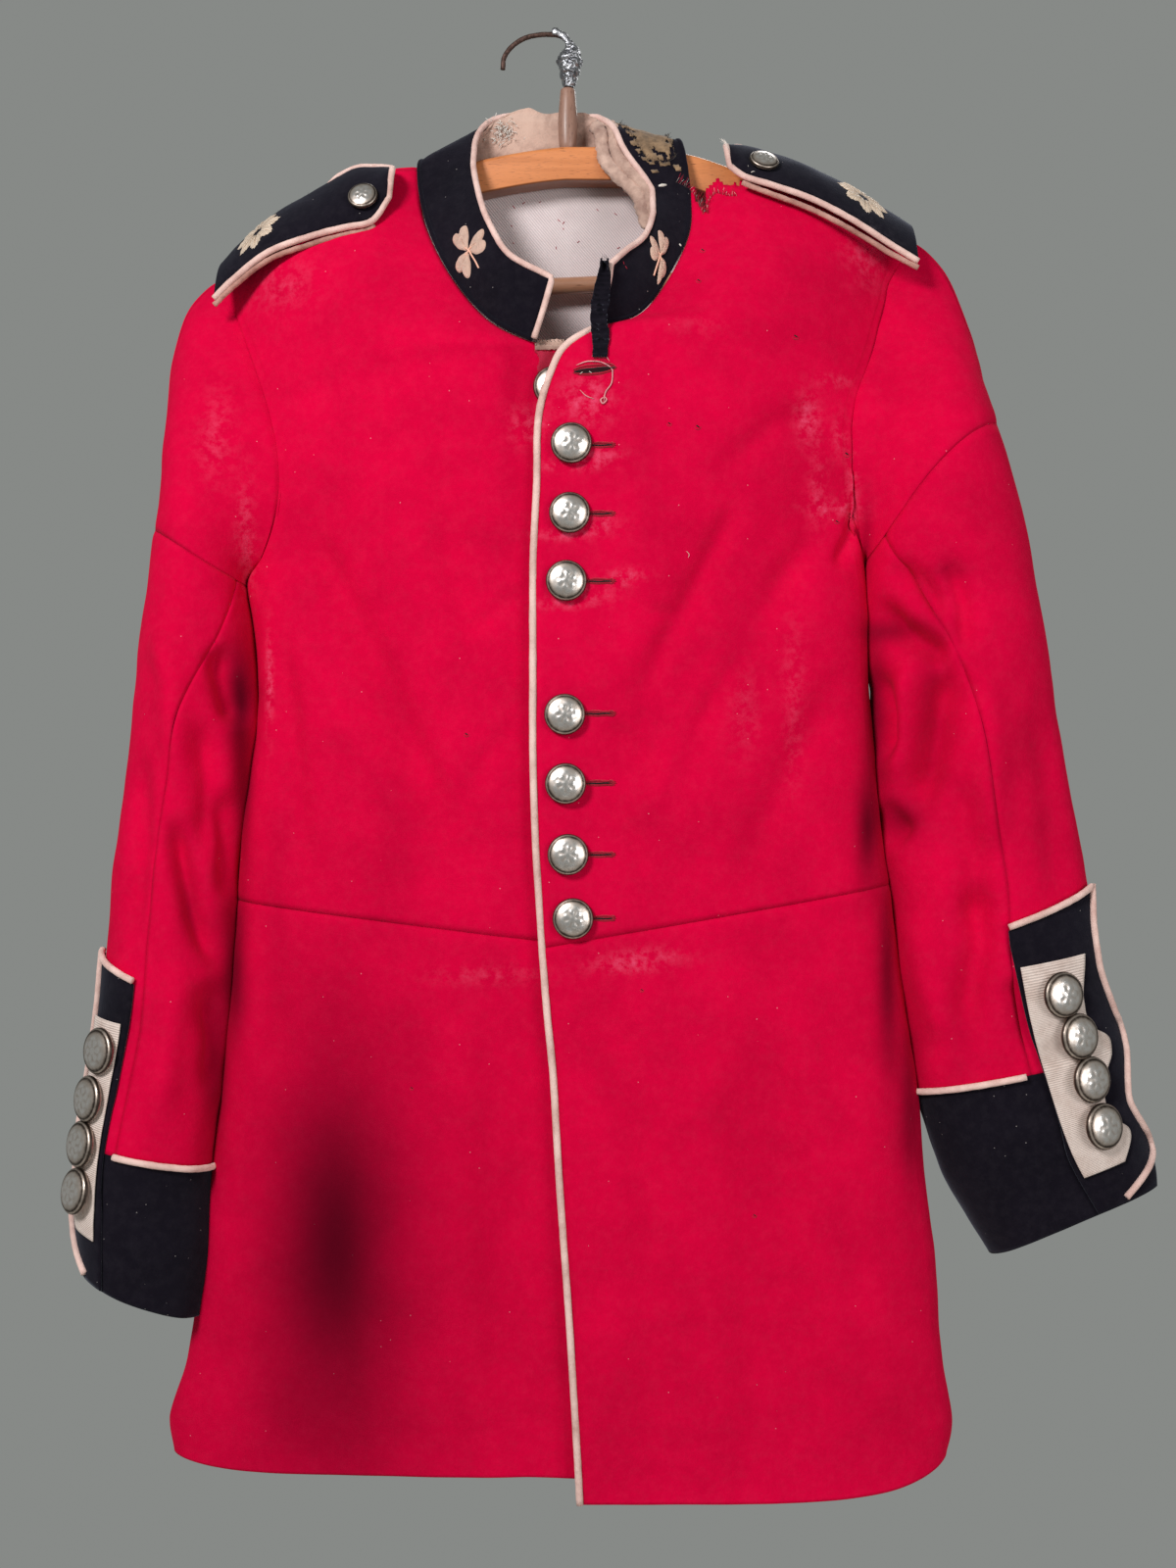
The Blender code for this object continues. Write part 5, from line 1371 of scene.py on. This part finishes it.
for side in ("left", "right"):
    under = (strapRows[side][3]["x"], 10, -180)
    clothPiece("strap" + side.title(), 40, 110, lambda u, t, s=side: strapGrid(s, 6 * t, 2 * u - 1), 2.4,
               blackWool,
               "black_cloth", ["strap_" + side], press=lambda u, t, here: 0.5 * rough(here.x, here.y, here.z,
                                                                                      16),
               inside=under, marks=clothMarks)
    outline = [(6 - 6 * i / 50, -1) for i in range(51)] + [(0, -0.5 + 0.25 * i) for i in range(5)]
    outline += [(6 * i / 50, 1) for i in range(51)]
    line = []
    for at, across in outline:
        p = strapPoint(side, at, across, -1.2)
        near = strapPoint(side, at if abs(across) == 1 else at + 0.3, across * 0.9 if abs(across) == 1
                          else across, -1.2)
        beyond = (p - near).normalized() * 2.0
        if across == -1:  # past the tip the back edge has curled over its piping
            beyond *= 1 - 1.6 * soft((at - strapSet["bare"][side]) / 0.5)
            beyond += Vector((0, 0.6, -2.2)) * soft((at - strapSet["bare"][side]) / 0.5)
        line.append(p + beyond)
    tubePiece("strapPiping" + side.title(), line, 2.0, creamPiping, ["strap_piping_" + side],
              sides=12,
              fuzz=0.12)
    # the strap's under layer shows as a second paler roll below a dark line
    second = []
    for i in range(61):
        at = 0.9 + 5.1 * i / 60
        p, near = strapPoint(side, at, 1, -3.4), strapPoint(side, at, 0.9, -3.0)
        bulge = strapSet["second"][side] * math.sin(math.pi * (at - 0.9) / 5.1)
        second.append(p + (p - near).normalized() * (4.2 + bulge))
    tubePiece("strapUnderRoll" + side.title(), second, 1.7, fadedPiping, [], sides=10,
              fuzz=0.25)
    at, across = strapSet["button"][side], strapSet["across"]
    run = strapPoint(side, at + 0.1, across) - strapPoint(side, at - 0.1, across)
    width = strapPoint(side, at, across + 0.05) - strapPoint(side, at, across - 0.05)
    ahead = run.cross(width).normalized() * -outward[side]
    addButton("strapButton" + side.title(), strapPoint(side, at, across)
              + ahead * strapSet["buttonOut"][side], ahead,
              buttonSet["strap"], "strap_button_" + side, 0.4)


def raisedMotif(name, place, radius, inner, thick, columns, rows, material, node, inside, split=None):
    # a padded patch of stitches: polar grid, domed, its rim let into the cloth
    def point(u, t):
        a = 2 * math.pi * u
        r = radius(a) * (inner + (1 - inner) * t)
        lift = thick * math.sqrt(max(1 - (2 * t - 1) ** 2 if inner else 1 - t * t, 0)) - (0.2 if t > 0.98
                                                                                          else 0)
        return place(r * math.cos(a), r * math.sin(a), lift * (split(a) if split else 1.0))

    sheet, size = sheetMesh(columns, rows, point, inside=inside, closed=True, size=(80.0, 6.0))
    return finishPiece(name, sheet, material, [node] if node else [])


# each of the eight rays is two bands of stitches with a split between them
def starRadius(a, full=17.0):
    turn = a / (2 * math.pi) * 8
    tooth = abs(turn - round(turn)) * 2
    return full * (1 - 0.36 * tooth**1.3 + 0.03 * math.cos(a * 48))


def rayAway(a):
    turn = a / (2 * math.pi) * 8
    return abs(turn - round(turn)) * 2 * math.pi / 8


def starSplit(a):
    return 1 - 0.9 * math.exp(-((rayAway(a) / 0.045) ** 2)) - 0.9 * math.exp(-(((math.pi / 8
                                                                                 - rayAway(a)) / 0.06) ** 2))


for side in ("left", "right"):
    rows = strapRows[side]
    perRow = (Vector([rows[4][a] for a in "xyz"]) - Vector([rows[3][a] for a in "xyz"])).length
    raisedMotif("star" + side.title(),
                lambda right, up, out, s=side, p=perRow: strapPoint(
                    s, strapSet["star"][s] + right / p, max(strapSet["starAcross"][s] + up / 24, -0.98),
                    out + 0.3),
                lambda a, s=side: starRadius(a, strapSet["starRadius"][s]), 0.24, 1.3, 224, 8, starThread,
                "star_" + side,
                (rows[3]["x"], 10, -180), starSplit)

# the sprigs: where they show in the photograph, how much the collar's turn narrows them, and the leaves'
# middles
leafSet = {
    "right": {"spot": (478, 256), "rows": (0.5, 5.0), "narrow": 0.62, "mirror": 1},
    "left": {"spot": (674, 261), "rows": (13.2, 17.4), "narrow": 0.34, "mirror": -1},
}
leafShape = {"middles": ((-6.8, 8.6), (10.0, 3.4), (-4.9, -9.0)), "size": 9.0, "thick": 1.5}


# the pixel of the photograph where a place shows
def shown(p):
    (x0, y0, z0), (middleX, middleY) = photoSet["camera"], photoSet["middle"]
    scale = photoSet["reach"] / (p.y - y0)
    return Vector((middleX + (p.x - x0) * scale, middleY - (p.z - z0) * scale))


def leafRadius(a):
    a = a if a < math.pi else 2 * math.pi - a
    bulge = 0.28 * math.exp(-((a / 0.35) ** 2)) + 0.25 * math.exp(-(((a - 2.25) / 0.5) ** 2))
    return leafShape["size"] * (0.80 + bulge - 0.30 * math.exp(-(((math.pi - a) / 0.28) ** 2)))


# a fine groove down the middle of the leaf's outer half
def leafSplit(a):
    return 1 - 0.75 * math.exp(-((min(a, 2 * math.pi - a) / 0.12) ** 2))


for side, leaf in leafSet.items():
    first, last = leaf["rows"]
    tries = [(first + (last - first) * i / 60, 0.2 + 0.6 * k / 40) for i in range(61) for k in range(41)]
    spot = min(tries, key=lambda pair: (shown(collarPoint(*pair)) - Vector(leaf["spot"])).length)
    centre = collarPoint(*spot)
    run = (collarPoint(spot[0] + 0.2, spot[1]) - centre) / 0.2
    climb = (collarPoint(spot[0], spot[1] + 0.05) - centre) / 0.05
    whole = run.x * climb.z - climb.x * run.z

    def onCollar(right, up, out, leaf=leaf, spot=spot, run=run, climb=climb, whole=whole):
        # the motif's own millimetres, narrowed as the photograph shows, found again on the collar
        dx, dz = right * leaf["narrow"] * leaf["mirror"], up
        return collarPoint(spot[0] + (dx * climb.z - climb.x * dz) / whole,
                           spot[1] + (run.x * dz - dx * run.z) / whole,
                           out + 0.25)

    for number, (x0, y0) in enumerate(leafShape["middles"]):
        lean = math.atan2(-y0, -x0)

        def leafPlace(right, up, out, lean=lean, x0=x0, y0=y0, spot=onCollar):
            return spot(x0 + math.cos(lean) * right - math.sin(lean) * up, y0 + math.sin(lean) * right
                        + math.cos(lean) * up,
                        out)

        raisedMotif(f"leaf{side.title()}{number + 1}", leafPlace, leafRadius, 0.0, leafShape["thick"], 64, 9,
                    leafThread, "leaf_" + side, (2, -30, -120), leafSplit)
    stem = [onCollar(x, y, 0.5) for x, y in ((-2.5, 2), (1.0, 0.2), (4.5, -4), (8.0, -8.5), (11.0, -13.5))]
    tubePiece("leafStem" + side.title(), smoothLine(stem, 30), 0.55, leafThread, [], sides=8)
    for number, ends in enumerate((((4, 2), (2, 1), (1.0, 0.2)), ((-2, -3), (0, -1.4), (1.0, 0.2)))):
        branch = [onCollar(x, y, 0.5) for x, y in ends]
        tubePiece(f"leafBranch{side.title()}{number + 1}", smoothLine(branch, 12), 0.55, leafThread,
                  [], sides=8)
print("straps and embroidery made")


# wear and small remains, each where the photograph shows it

holeThread = paleCloth("crimson buttonhole twist", "#B01030", "#8A0820", fuzz=0.6, patches=200)
holeShade = paleCloth("shadowed wool inside a slit", "#2A0209", "#1A0206", fuzz=0.2, patches=200)
pinkThread = paleCloth("pale pink loose sewing thread", "#E8A7A8", "#D08A90", fuzz=0.3, patches=200)
whiteFluff = paleCloth("white cotton wadding fluff", "#F4EEE8", "#D8CEC4", fuzz=0.3, patches=200)
redFray = paleCloth("frayed scarlet yarn ends", "#C81A3C", "#8E0A26", fuzz=0.3, patches=300)
blackFray = paleCloth("frayed black yarn ends", "#2A2A30", "#121216", fuzz=0.3, patches=300)


def photoLine(points, out=0.0, count=24):
    return smoothLine([photoSpot(px, py, out) for px, py in points], count)


# worked buttonholes beside each closed button: two corded lips, a dark slit and an eyelet at the far end
buttonPixels = [(581, 454), (580, 524), (578, 593), (576, 728), (577, 799), (579, 872), (585, 937)]
lips, slits = [], []
for px, py in buttonPixels:
    for side in (-1, 1):
        lips.append((photoLine([(px + 18, py + side * 1.4), (px + 32, py + side * 2.3),
                                (px + 42, py + side * 1.6),
                                (624, py + side * 2.2), (627, py)], 0.15, 16), 0.62))
    slits.append((photoLine([(px + 18, py), (px + 34, py + 0.3), (625, py)], 0.3, 12), 0.5))
    for k in range(5):
        a = 1.3 * k
        lips.append((photoLine([(625, py), (627 + 2 * math.cos(a), py + 2.5 * math.sin(a))], 0.5, 4), 0.35))
# the topmost hole is empty
for side in (-1, 1):
    lips.append((photoLine([(585, 379 + side * 1.5), (596, 378 + side * 4.2), (610, 377 + side * 4.4),
                            (622, 375 + side * 3.4),
                            (629, 375)], 0.2, 20), 0.75))
slits.append((photoLine([(586, 379.5), (607, 377.5), (627, 375.5)], 0.35, 14), 1.5))
threadPiece("buttonholeLips", lips, holeThread, sides=6)
threadPiece("buttonholeSlits", slits, holeShade, sides=6)
threadPiece("looseThreads", [
    (photoLine([(588, 373), (600, 369), (614, 370), (625, 378), (624, 391), (618, 400), (616, 410)], 0.8,
               30), 0.4),
    (photoLine([(616, 404), (619, 408), (615, 412), (613, 408), (617, 405)], 1.0, 12), 0.5),
    (photoLine([(604, 364), (610, 359), (617, 362), (622, 369)], 0.9, 12), 0.35),
    (photoLine([(592, 398), (598, 404), (606, 407)], 0.5, 10), 0.3),
], pinkThread)
threadPiece("whiteThreads", [
    (photoLine([(592, 382), (598, 378), (604, 381)], 1.2, 10), 0.3),
    (photoLine([(760, 186), (768, 176), (776, 181), (782, 174)], 1.0, 14), 0.28),
    (photoLine([(763, 170), (766, 182), (773, 188)], 1.0, 12), 0.28),
    (photoLine([(700, 562), (703, 566), (702, 569)], 0.4, 10), 0.14),
], whiteFluff)

# moth holes: short dark marks with a paler rim of broken nap
mothHoles = [(712, 435, 2.6), (683, 432, 2.0), (812, 343, 2.6), (476, 749, 2.2), (864, 463, 2.6),
             (854, 532, 2.0),
             (868, 525, 2.2), (717, 255, 2.2), (713, 286, 2.0), (655, 1010, 1.6), (420, 1110, 1.6),
             (770, 1240, 1.8)]
marks, rims = [], []
for px, py, size in mothHoles:
    marks.append((photoLine([(px - size * 0.6, py - size * 0.4), (px + size * 0.6, py + size * 0.4)], 0.1,
                            3), size * 0.30))
    rims.append((photoLine([(px + size * 1.3 * math.cos(a / 2), py + size * 1.3 * math.sin(a / 2))
                            for a in range(7)], 0.05,
                           10), 0.28))
threadPiece("mothHoles", marks, holeShade, sides=8)
threadPiece("mothRims", rims, redFray, sides=5)

# specks of red fluff on the twill below the hanger, and the two pale spots on the collar
specks = []
for k in range(16):
    px, py = 512 + chance.random() * 126, 202 + chance.random() ** 2 * 70
    specks.append((photoLine([(px, py), (px + chance.uniform(-3, 3), py + chance.uniform(1, 4))], 0.3, 3),
                   0.4))
threadPiece("liningSpecks", specks, redFray)
threadPiece("collarSpots", [(photoLine([(672, 190), (680, 189)], 0.3, 4), 1.5),
                            (photoLine([(693, 249), (695, 252)], 0.3, 3), 0.9)],
            whiteFluff)


# a scrap of cloth that lies on the cloth behind it, between two columns and two rows of the photograph
def scrap(name, left, top, right, bottom, out, thick, material, slot, columns=30, rows=20, ragged=0.16,
          deep=None, **more):
    middle = deep or photoSpot((left + right) / 2, (top + bottom) / 2, out).y

    def place(u, t):
        px, py = left + (right - left) * u, top + (bottom - top) * t
        return seen(px, py, min(max(photoSpot(px, py, out).y, middle - 4), middle + 1.5))

    def cut(here, u, t):
        edge = min(u, 1 - u, t, 1 - t)
        return edge < ragged * (0.5 + rough(here.x, here.y, here.z, 3.5))

    clothPiece(name, columns, rows, place, thick, material, slot, [], held="laid", cut=cut, **more)


scrap("neckLiningStrip", 546, 346, 579, 357, 1.2, 0.8, collarLining, "cream_lining", columns=60, rows=24,
      ragged=0.08, deep=-67,
      inside=(0, 60, -215))
scrap("fadedUnderlap", 546, 357, 584, 380, 0.6, 0.5, fadedWool, "scarlet_cloth", columns=30, rows=18,
      ragged=0.1,
      inside=(0, 60, -225))
threadPiece("neckStitches", [([seen(px, 346.5, -69), seen(px + 1.6, 349, -69)], 0.35) for px in range(549,
                                                                                                      578,
                                                                                                      4)],
            blackFray)


# bare canvas where the collar's black cloth is worn away behind the wearer's left shoulder
def canvasPoint(u, t):
    return collarPoint(11.1 + 2.5 * u, 0.16 + 0.74 * t, 0.9)


clothPiece("collarCanvas", 44, 34, canvasPoint, 0.6, canvasCloth, "", [], held="laid", inside=(2, -30, -120),
           press=lambda u, t, here: 0.5 * rough(here.x, here.y, here.z, 5),
           cut=lambda here, u, t: min(u, 1 - u, t, 1 - t) < 0.2 * (0.5 + rough(here.x, here.y, here.z, 4)))
edge = [canvasPoint(u, t) for u, t in ((0.06, 0.1), (0.3, 0.06), (0.6, 0.08), (0.9, 0.12), (0.94, 0.5),
                                       (0.9, 0.9), (0.5, 0.93),
                                       (0.1, 0.9))]
threadPiece("canvasFray", fray(edge, Vector((0.2, -0.7, 0.1)).normalized(), 3.6, 0.8, 0.16), blackFray)
threadPiece("canvasFibres", fray(edge, Vector((0.3, -0.6, 0.4)).normalized(), 2.6, 1.3, 0.13), canvasCloth)


# a torn strip of black facing that hangs from the collar's open edge, curled at its top
def stripPoint(u, t):
    path = smoothStrip[min(int(t * 60), 60)]
    wide = 6.6 + 2.6 * soft(t * 2.2) - 2.0 * soft((t - 0.75) * 4) + 1.1 * rough(t * 60, 0, 3, 5)
    curl = 1 - soft(t * 3.2)
    a = (u - 0.5) * (1.3 + 3.2 * curl)
    return path + Vector((math.sin(a) * wide / (1.3 + 3.2 * curl) * 1.25,
                          -(1 - math.cos(a)) * (1.0 + 2.4 * curl), 0))


smoothStrip = smoothLine([tuple(seen(px, py, y)) for px, py, y in (
    (617, 266, -79.5), (616, 284, -80.5), (613, 304, -79.5), (611, 324, -79), (613, 344, -79.5),
    (612, 364, -80.5))], 60)
clothPiece("tornStrip", 14, 60, stripPoint, 0.9, blackWool, "black_cloth", [], held="hung",
           inside=(34, 60, -195),
           press=lambda u, t, here: 0.4 * rough(here.x, here.y, here.z, 7), marks=clothMarks)
stripEnds = [([stripPoint(0.1, 0), stripPoint(0.9, 0)], Vector((0, -0.2, 1))),
             ([stripPoint(0.05, 1), stripPoint(0.95, 1)],
                                                                              Vector((0, -0.1, -1)))]
strands = [strand for line, away in stripEnds for strand in fray(line, away, 5.0, 0.6, 0.15)]
threadPiece("tornStripFray", strands, blackFray)

# a tuft of wadding in the collar's back, where the lining has come loose
tuft = []
for k in range(90):
    px, py = 513 + chance.gauss(0, 8), 134 + chance.gauss(0, 7)
    start = photoSpot(px, py, 0.6 + chance.random() * 2.2)
    bend = Vector((chance.uniform(-1, 1), chance.uniform(-0.6, 0.1), chance.uniform(-1, 1))) * 3.4
    tuft.append(([start, start + bend * 0.5 + Vector((0.6, -0.5, 0.6)), start + bend], 0.42))
threadPiece("waddingTuft", tuft, whiteFluff)

# frayed yarns round the rip, and on the strap's worn edge and tip
ripEdges = [
    ([(690, 186), (699, 190), (707, 197), (713, 208), (718, 219)], Vector((0.3, -0.5, 0.5)), 5.0),
    ([(722, 219), (724, 205), (731, 197), (742, 200), (752, 200)], Vector((-0.2, -0.5, 0.7)), 5.0),
    ([(716, 196), (719, 208), (721, 217)], Vector((0.1, -0.7, 0.0)), 3.0),
]
reds, pales = [], []
for points, away, length in ripEdges:
    line = photoLine(points, 0.3, 12)
    reds += fray(line, away.normalized(), length, 0.55, 0.2)
    pales += fray(line, away.normalized(), length * 0.8, 2.6, 0.14)
threadPiece("ripFray", reds, redFray)
threadPiece("ripPaleFray", pales, whiteFluff)
edges = []
for side in ("left", "right"):
    back = [strapPoint(side, strapSet["bare"][side] + (5.9 - strapSet["bare"][side]) * k / 30, -0.98, -0.6)
            for k in range(31)]
    edges += fray(back, Vector((0, 0.7, 0.45)).normalized(), 2.4, 1.0, 0.15)
threadPiece("strapFray", edges, blackFray)
tip = [strapPoint("left", 0.0, across) for across in (-0.9, -0.5, 0.0, 0.5)]
threadPiece("strapTipFray", fray(tip, Vector((-0.8, -0.3, 0.5)).normalized(), 5.0, 0.5, 0.17), whiteFluff)
print("wear made")


# the hanger

boardRows = rowTable(
    "x z tall",
    (-192, -153, 24),
    (-168, -137, 23),
    (-131, -116, 22),
    (-84, -94, 22),
    (-42, -81, 22),
    (10, -73, 22),
    (60, -74, 22),
    (87, -77.6, 22),
    (114, -86, 22),
    (150, -100.6, 22),
    (182, -118.6, 23),
    (204, -133.6, 24),
)
hangerSet = {"half": 8.5, "bar": 5.3, "neckX": 11.0, "round": 3.0}


def boardPoint(u, t):
    at = 11 * u
    x, top, tall = (along(boardRows, name, at) for name in ("x", "z", "tall"))
    half, r = hangerSet["half"], hangerSet["round"]
    corners = ((-half + r, -r, 90, 180), (-half + r, -tall + r * 0.4, 180, 270), (half - r, -tall + r * 0.4,
                                                                                  270, 360),
               (half - r, -r, 0, 90))
    walk = t * 4
    k = min(int(walk), 3)
    share = walk - k
    y, z, a0, a1 = corners[k]
    bend = r if k in (0, 3) else r * 0.4
    if k in (1, 2):
        y = -half + bend if k == 1 else half - bend
    spread = min(share * 1.25, 1.0)
    angle = math.radians(a0 + (a1 - a0) * spread)
    return Vector((x, y + bend * math.cos(angle), top + z + bend * math.sin(angle)))


board, _ = sheetMesh(110, 24, boardPoint, inside=(0, 0, -100), closed=True)
bmesh.ops.holes_fill(board, edges=[e for e in board.edges if e.is_boundary])
bmesh.ops.recalc_face_normals(board, faces=board.faces)
# painted shade: the board's downward faces get the darker colour
low = board.verts.layers.float.new("under")
board.normal_update()
for vert in board.verts:
    vert[low] = soft((-vert.normal.z - 0.1) / 0.4)
finishPiece("hangerBoard", board, beech, ["hanger_board"])
tubePiece("trouserBar", smoothLine([(-188, 0, -168), (6, 0, -161), (200, 0, -152)], 40), hangerSet["bar"],
          dowelWood,
          ["hanger_board"], sides=28)
peg = bmesh.new()
pegShape = [(0, 0), (3.8, 0), (4.4, -0.5), (4.8, -1.5), (5.4, -9), (6.1, -17), (6.3, -22), (6.1, -29),
            (5.6, -36),
            (5.0, -39.2), (4.6, -39.8), (0, -39.8)]
pegVerts = [peg.verts.new((r * mm, 0, z * mm)) for r, z in pegShape]
pegEdges = [peg.edges.new(pair) for pair in zip(pegVerts, pegVerts[1:])]
bmesh.ops.spin(peg, geom=pegVerts + pegEdges, cent=(0, 0, 0), axis=(0, 0, 1), angle=2 * math.pi, steps=40,
               use_merge=True)
bmesh.ops.remove_doubles(peg, verts=peg.verts, dist=0.00001)
bmesh.ops.recalc_face_normals(peg, faces=peg.faces)
bmesh.ops.transform(peg, matrix=Matrix.Translation(Vector((hangerSet["neckX"], 0, -33.6)) * mm),
                    verts=peg.verts)
finishPiece("hangerPeg", peg, pegWood, ["hanger_neck"])
hookLine = [(-31, 0, -21), (-30, 0, -13), (-25, 0, -6), (-17, 0, -0.8), (-8, 0, 1.4), (0, 0, 1.7),
            (7, 0, 0.4),
            (13, 0, -4), (17, 0, -11), (14, 0, -21), (11.4, 0, -33.2)]
tubePiece("hangerHook", smoothLine(hookLine, 70), 1.6, rustyWire, ["hanger_hook"], sides=12,
          fuzz=0.08)


def foilPoint(u, t):
    foot, head = Vector((11.4, 0, -32.8)), Vector((13.4, 0, -4.6))
    lumps = (3.2, 4.2, 5.4, 6.0, 7.2, 8.2, 6.6, 5.4, 2.4)
    k = min(int(t * 8), 7)
    reach = lumps[k] + (lumps[k + 1] - lumps[k]) * soft(t * 8 - k)
    a = 2 * math.pi * u
    axis = (head - foot).normalized()
    side = axis.cross(Vector((0, 1, 0))).normalized()
    middle = foot.lerp(head, t)
    r = reach * (1 + 0.2 * noise.noise(Vector((math.cos(a) * 1.6, math.sin(a) * 1.6, t * 7))))
    return middle + (side * math.cos(a) + Vector((0, 1, 0)) * math.sin(a)) * r


wrap, _ = sheetMesh(80, 70, foilPoint, inside=(12.4, 0, -20), closed=True,
                    press=lambda u, t, here: 2.2 * abs(rough(here.x, here.y, here.z, 3.4)) - 0.6)
finishPiece("hookBinding", wrap, foil, ["hanger_binding"])
tubePiece("bindingTail", smoothLine([(13, -2.4, -7), (9, -2.8, -1), (4, -2.6, 2.4), (0.8, -2.2, 3.6)], 24),
          2.2, foil,
          [], sides=12, flat=0.4, fuzz=0.5, taper=0.5)
print("hanger made")


# floor, light and the closing lines

floorSet = {"z": -1.65, "radius": 1.5, "colour": "#D9D8D2"}
ground = bmesh.new()
bmesh.ops.create_circle(ground, cap_ends=True, segments=96, radius=floorSet["radius"])
bmesh.ops.translate(ground, vec=(0, 0, floorSet["z"]), verts=ground.verts)
groundData = bpy.data.meshes.new("floor")
ground.to_mesh(groundData)
ground.free()
floor = bpy.data.objects.new("floor", groundData)
bpy.context.scene.collection.objects.link(floor)
floorPaint, _, floorShader = newMaterial("pale matt floor paint", Roughness=0.9)
floorShader.inputs["Base Color"].default_value = srgb(floorSet["colour"])
groundData.materials.append(floorPaint)

studioSet = {"colour": "#D6DAD6", "strength": 0.36, "aim": (0.02, -0.02, -0.45)}
world = bpy.data.worlds.new("studio")
world.use_nodes = True
world.node_tree.nodes["Background"].inputs["Color"].default_value = srgb(studioSet["colour"])
world.node_tree.nodes["Background"].inputs["Strength"].default_value = studioSet["strength"]
bpy.context.scene.world = world

lights = rowTable(
    "name x y z size power",
    ("key", -0.95, -1.65, 0.55, 0.5, 34),
    ("fill", 1.2, -1.55, -0.3, 0.9, 11),
    ("back", 0.3, 1.2, 0.6, 1.0, 12),
)
for lamp in lights:
    data = bpy.data.lights.new(lamp["name"], "AREA")
    data.size = lamp["size"]
    data.energy = lamp["power"]
    made = bpy.data.objects.new(lamp["name"], data)
    bpy.context.scene.collection.objects.link(made)
    made.location = (lamp["x"], lamp["y"], lamp["z"])
    aim = Vector(studioSet["aim"]) - made.location
    made.rotation_euler = aim.to_track_quat("-Z", "Y").to_euler()
bpy.context.scene.view_settings.view_transform = "Standard"

bpy.context.view_layer.update()

print("scene finished")
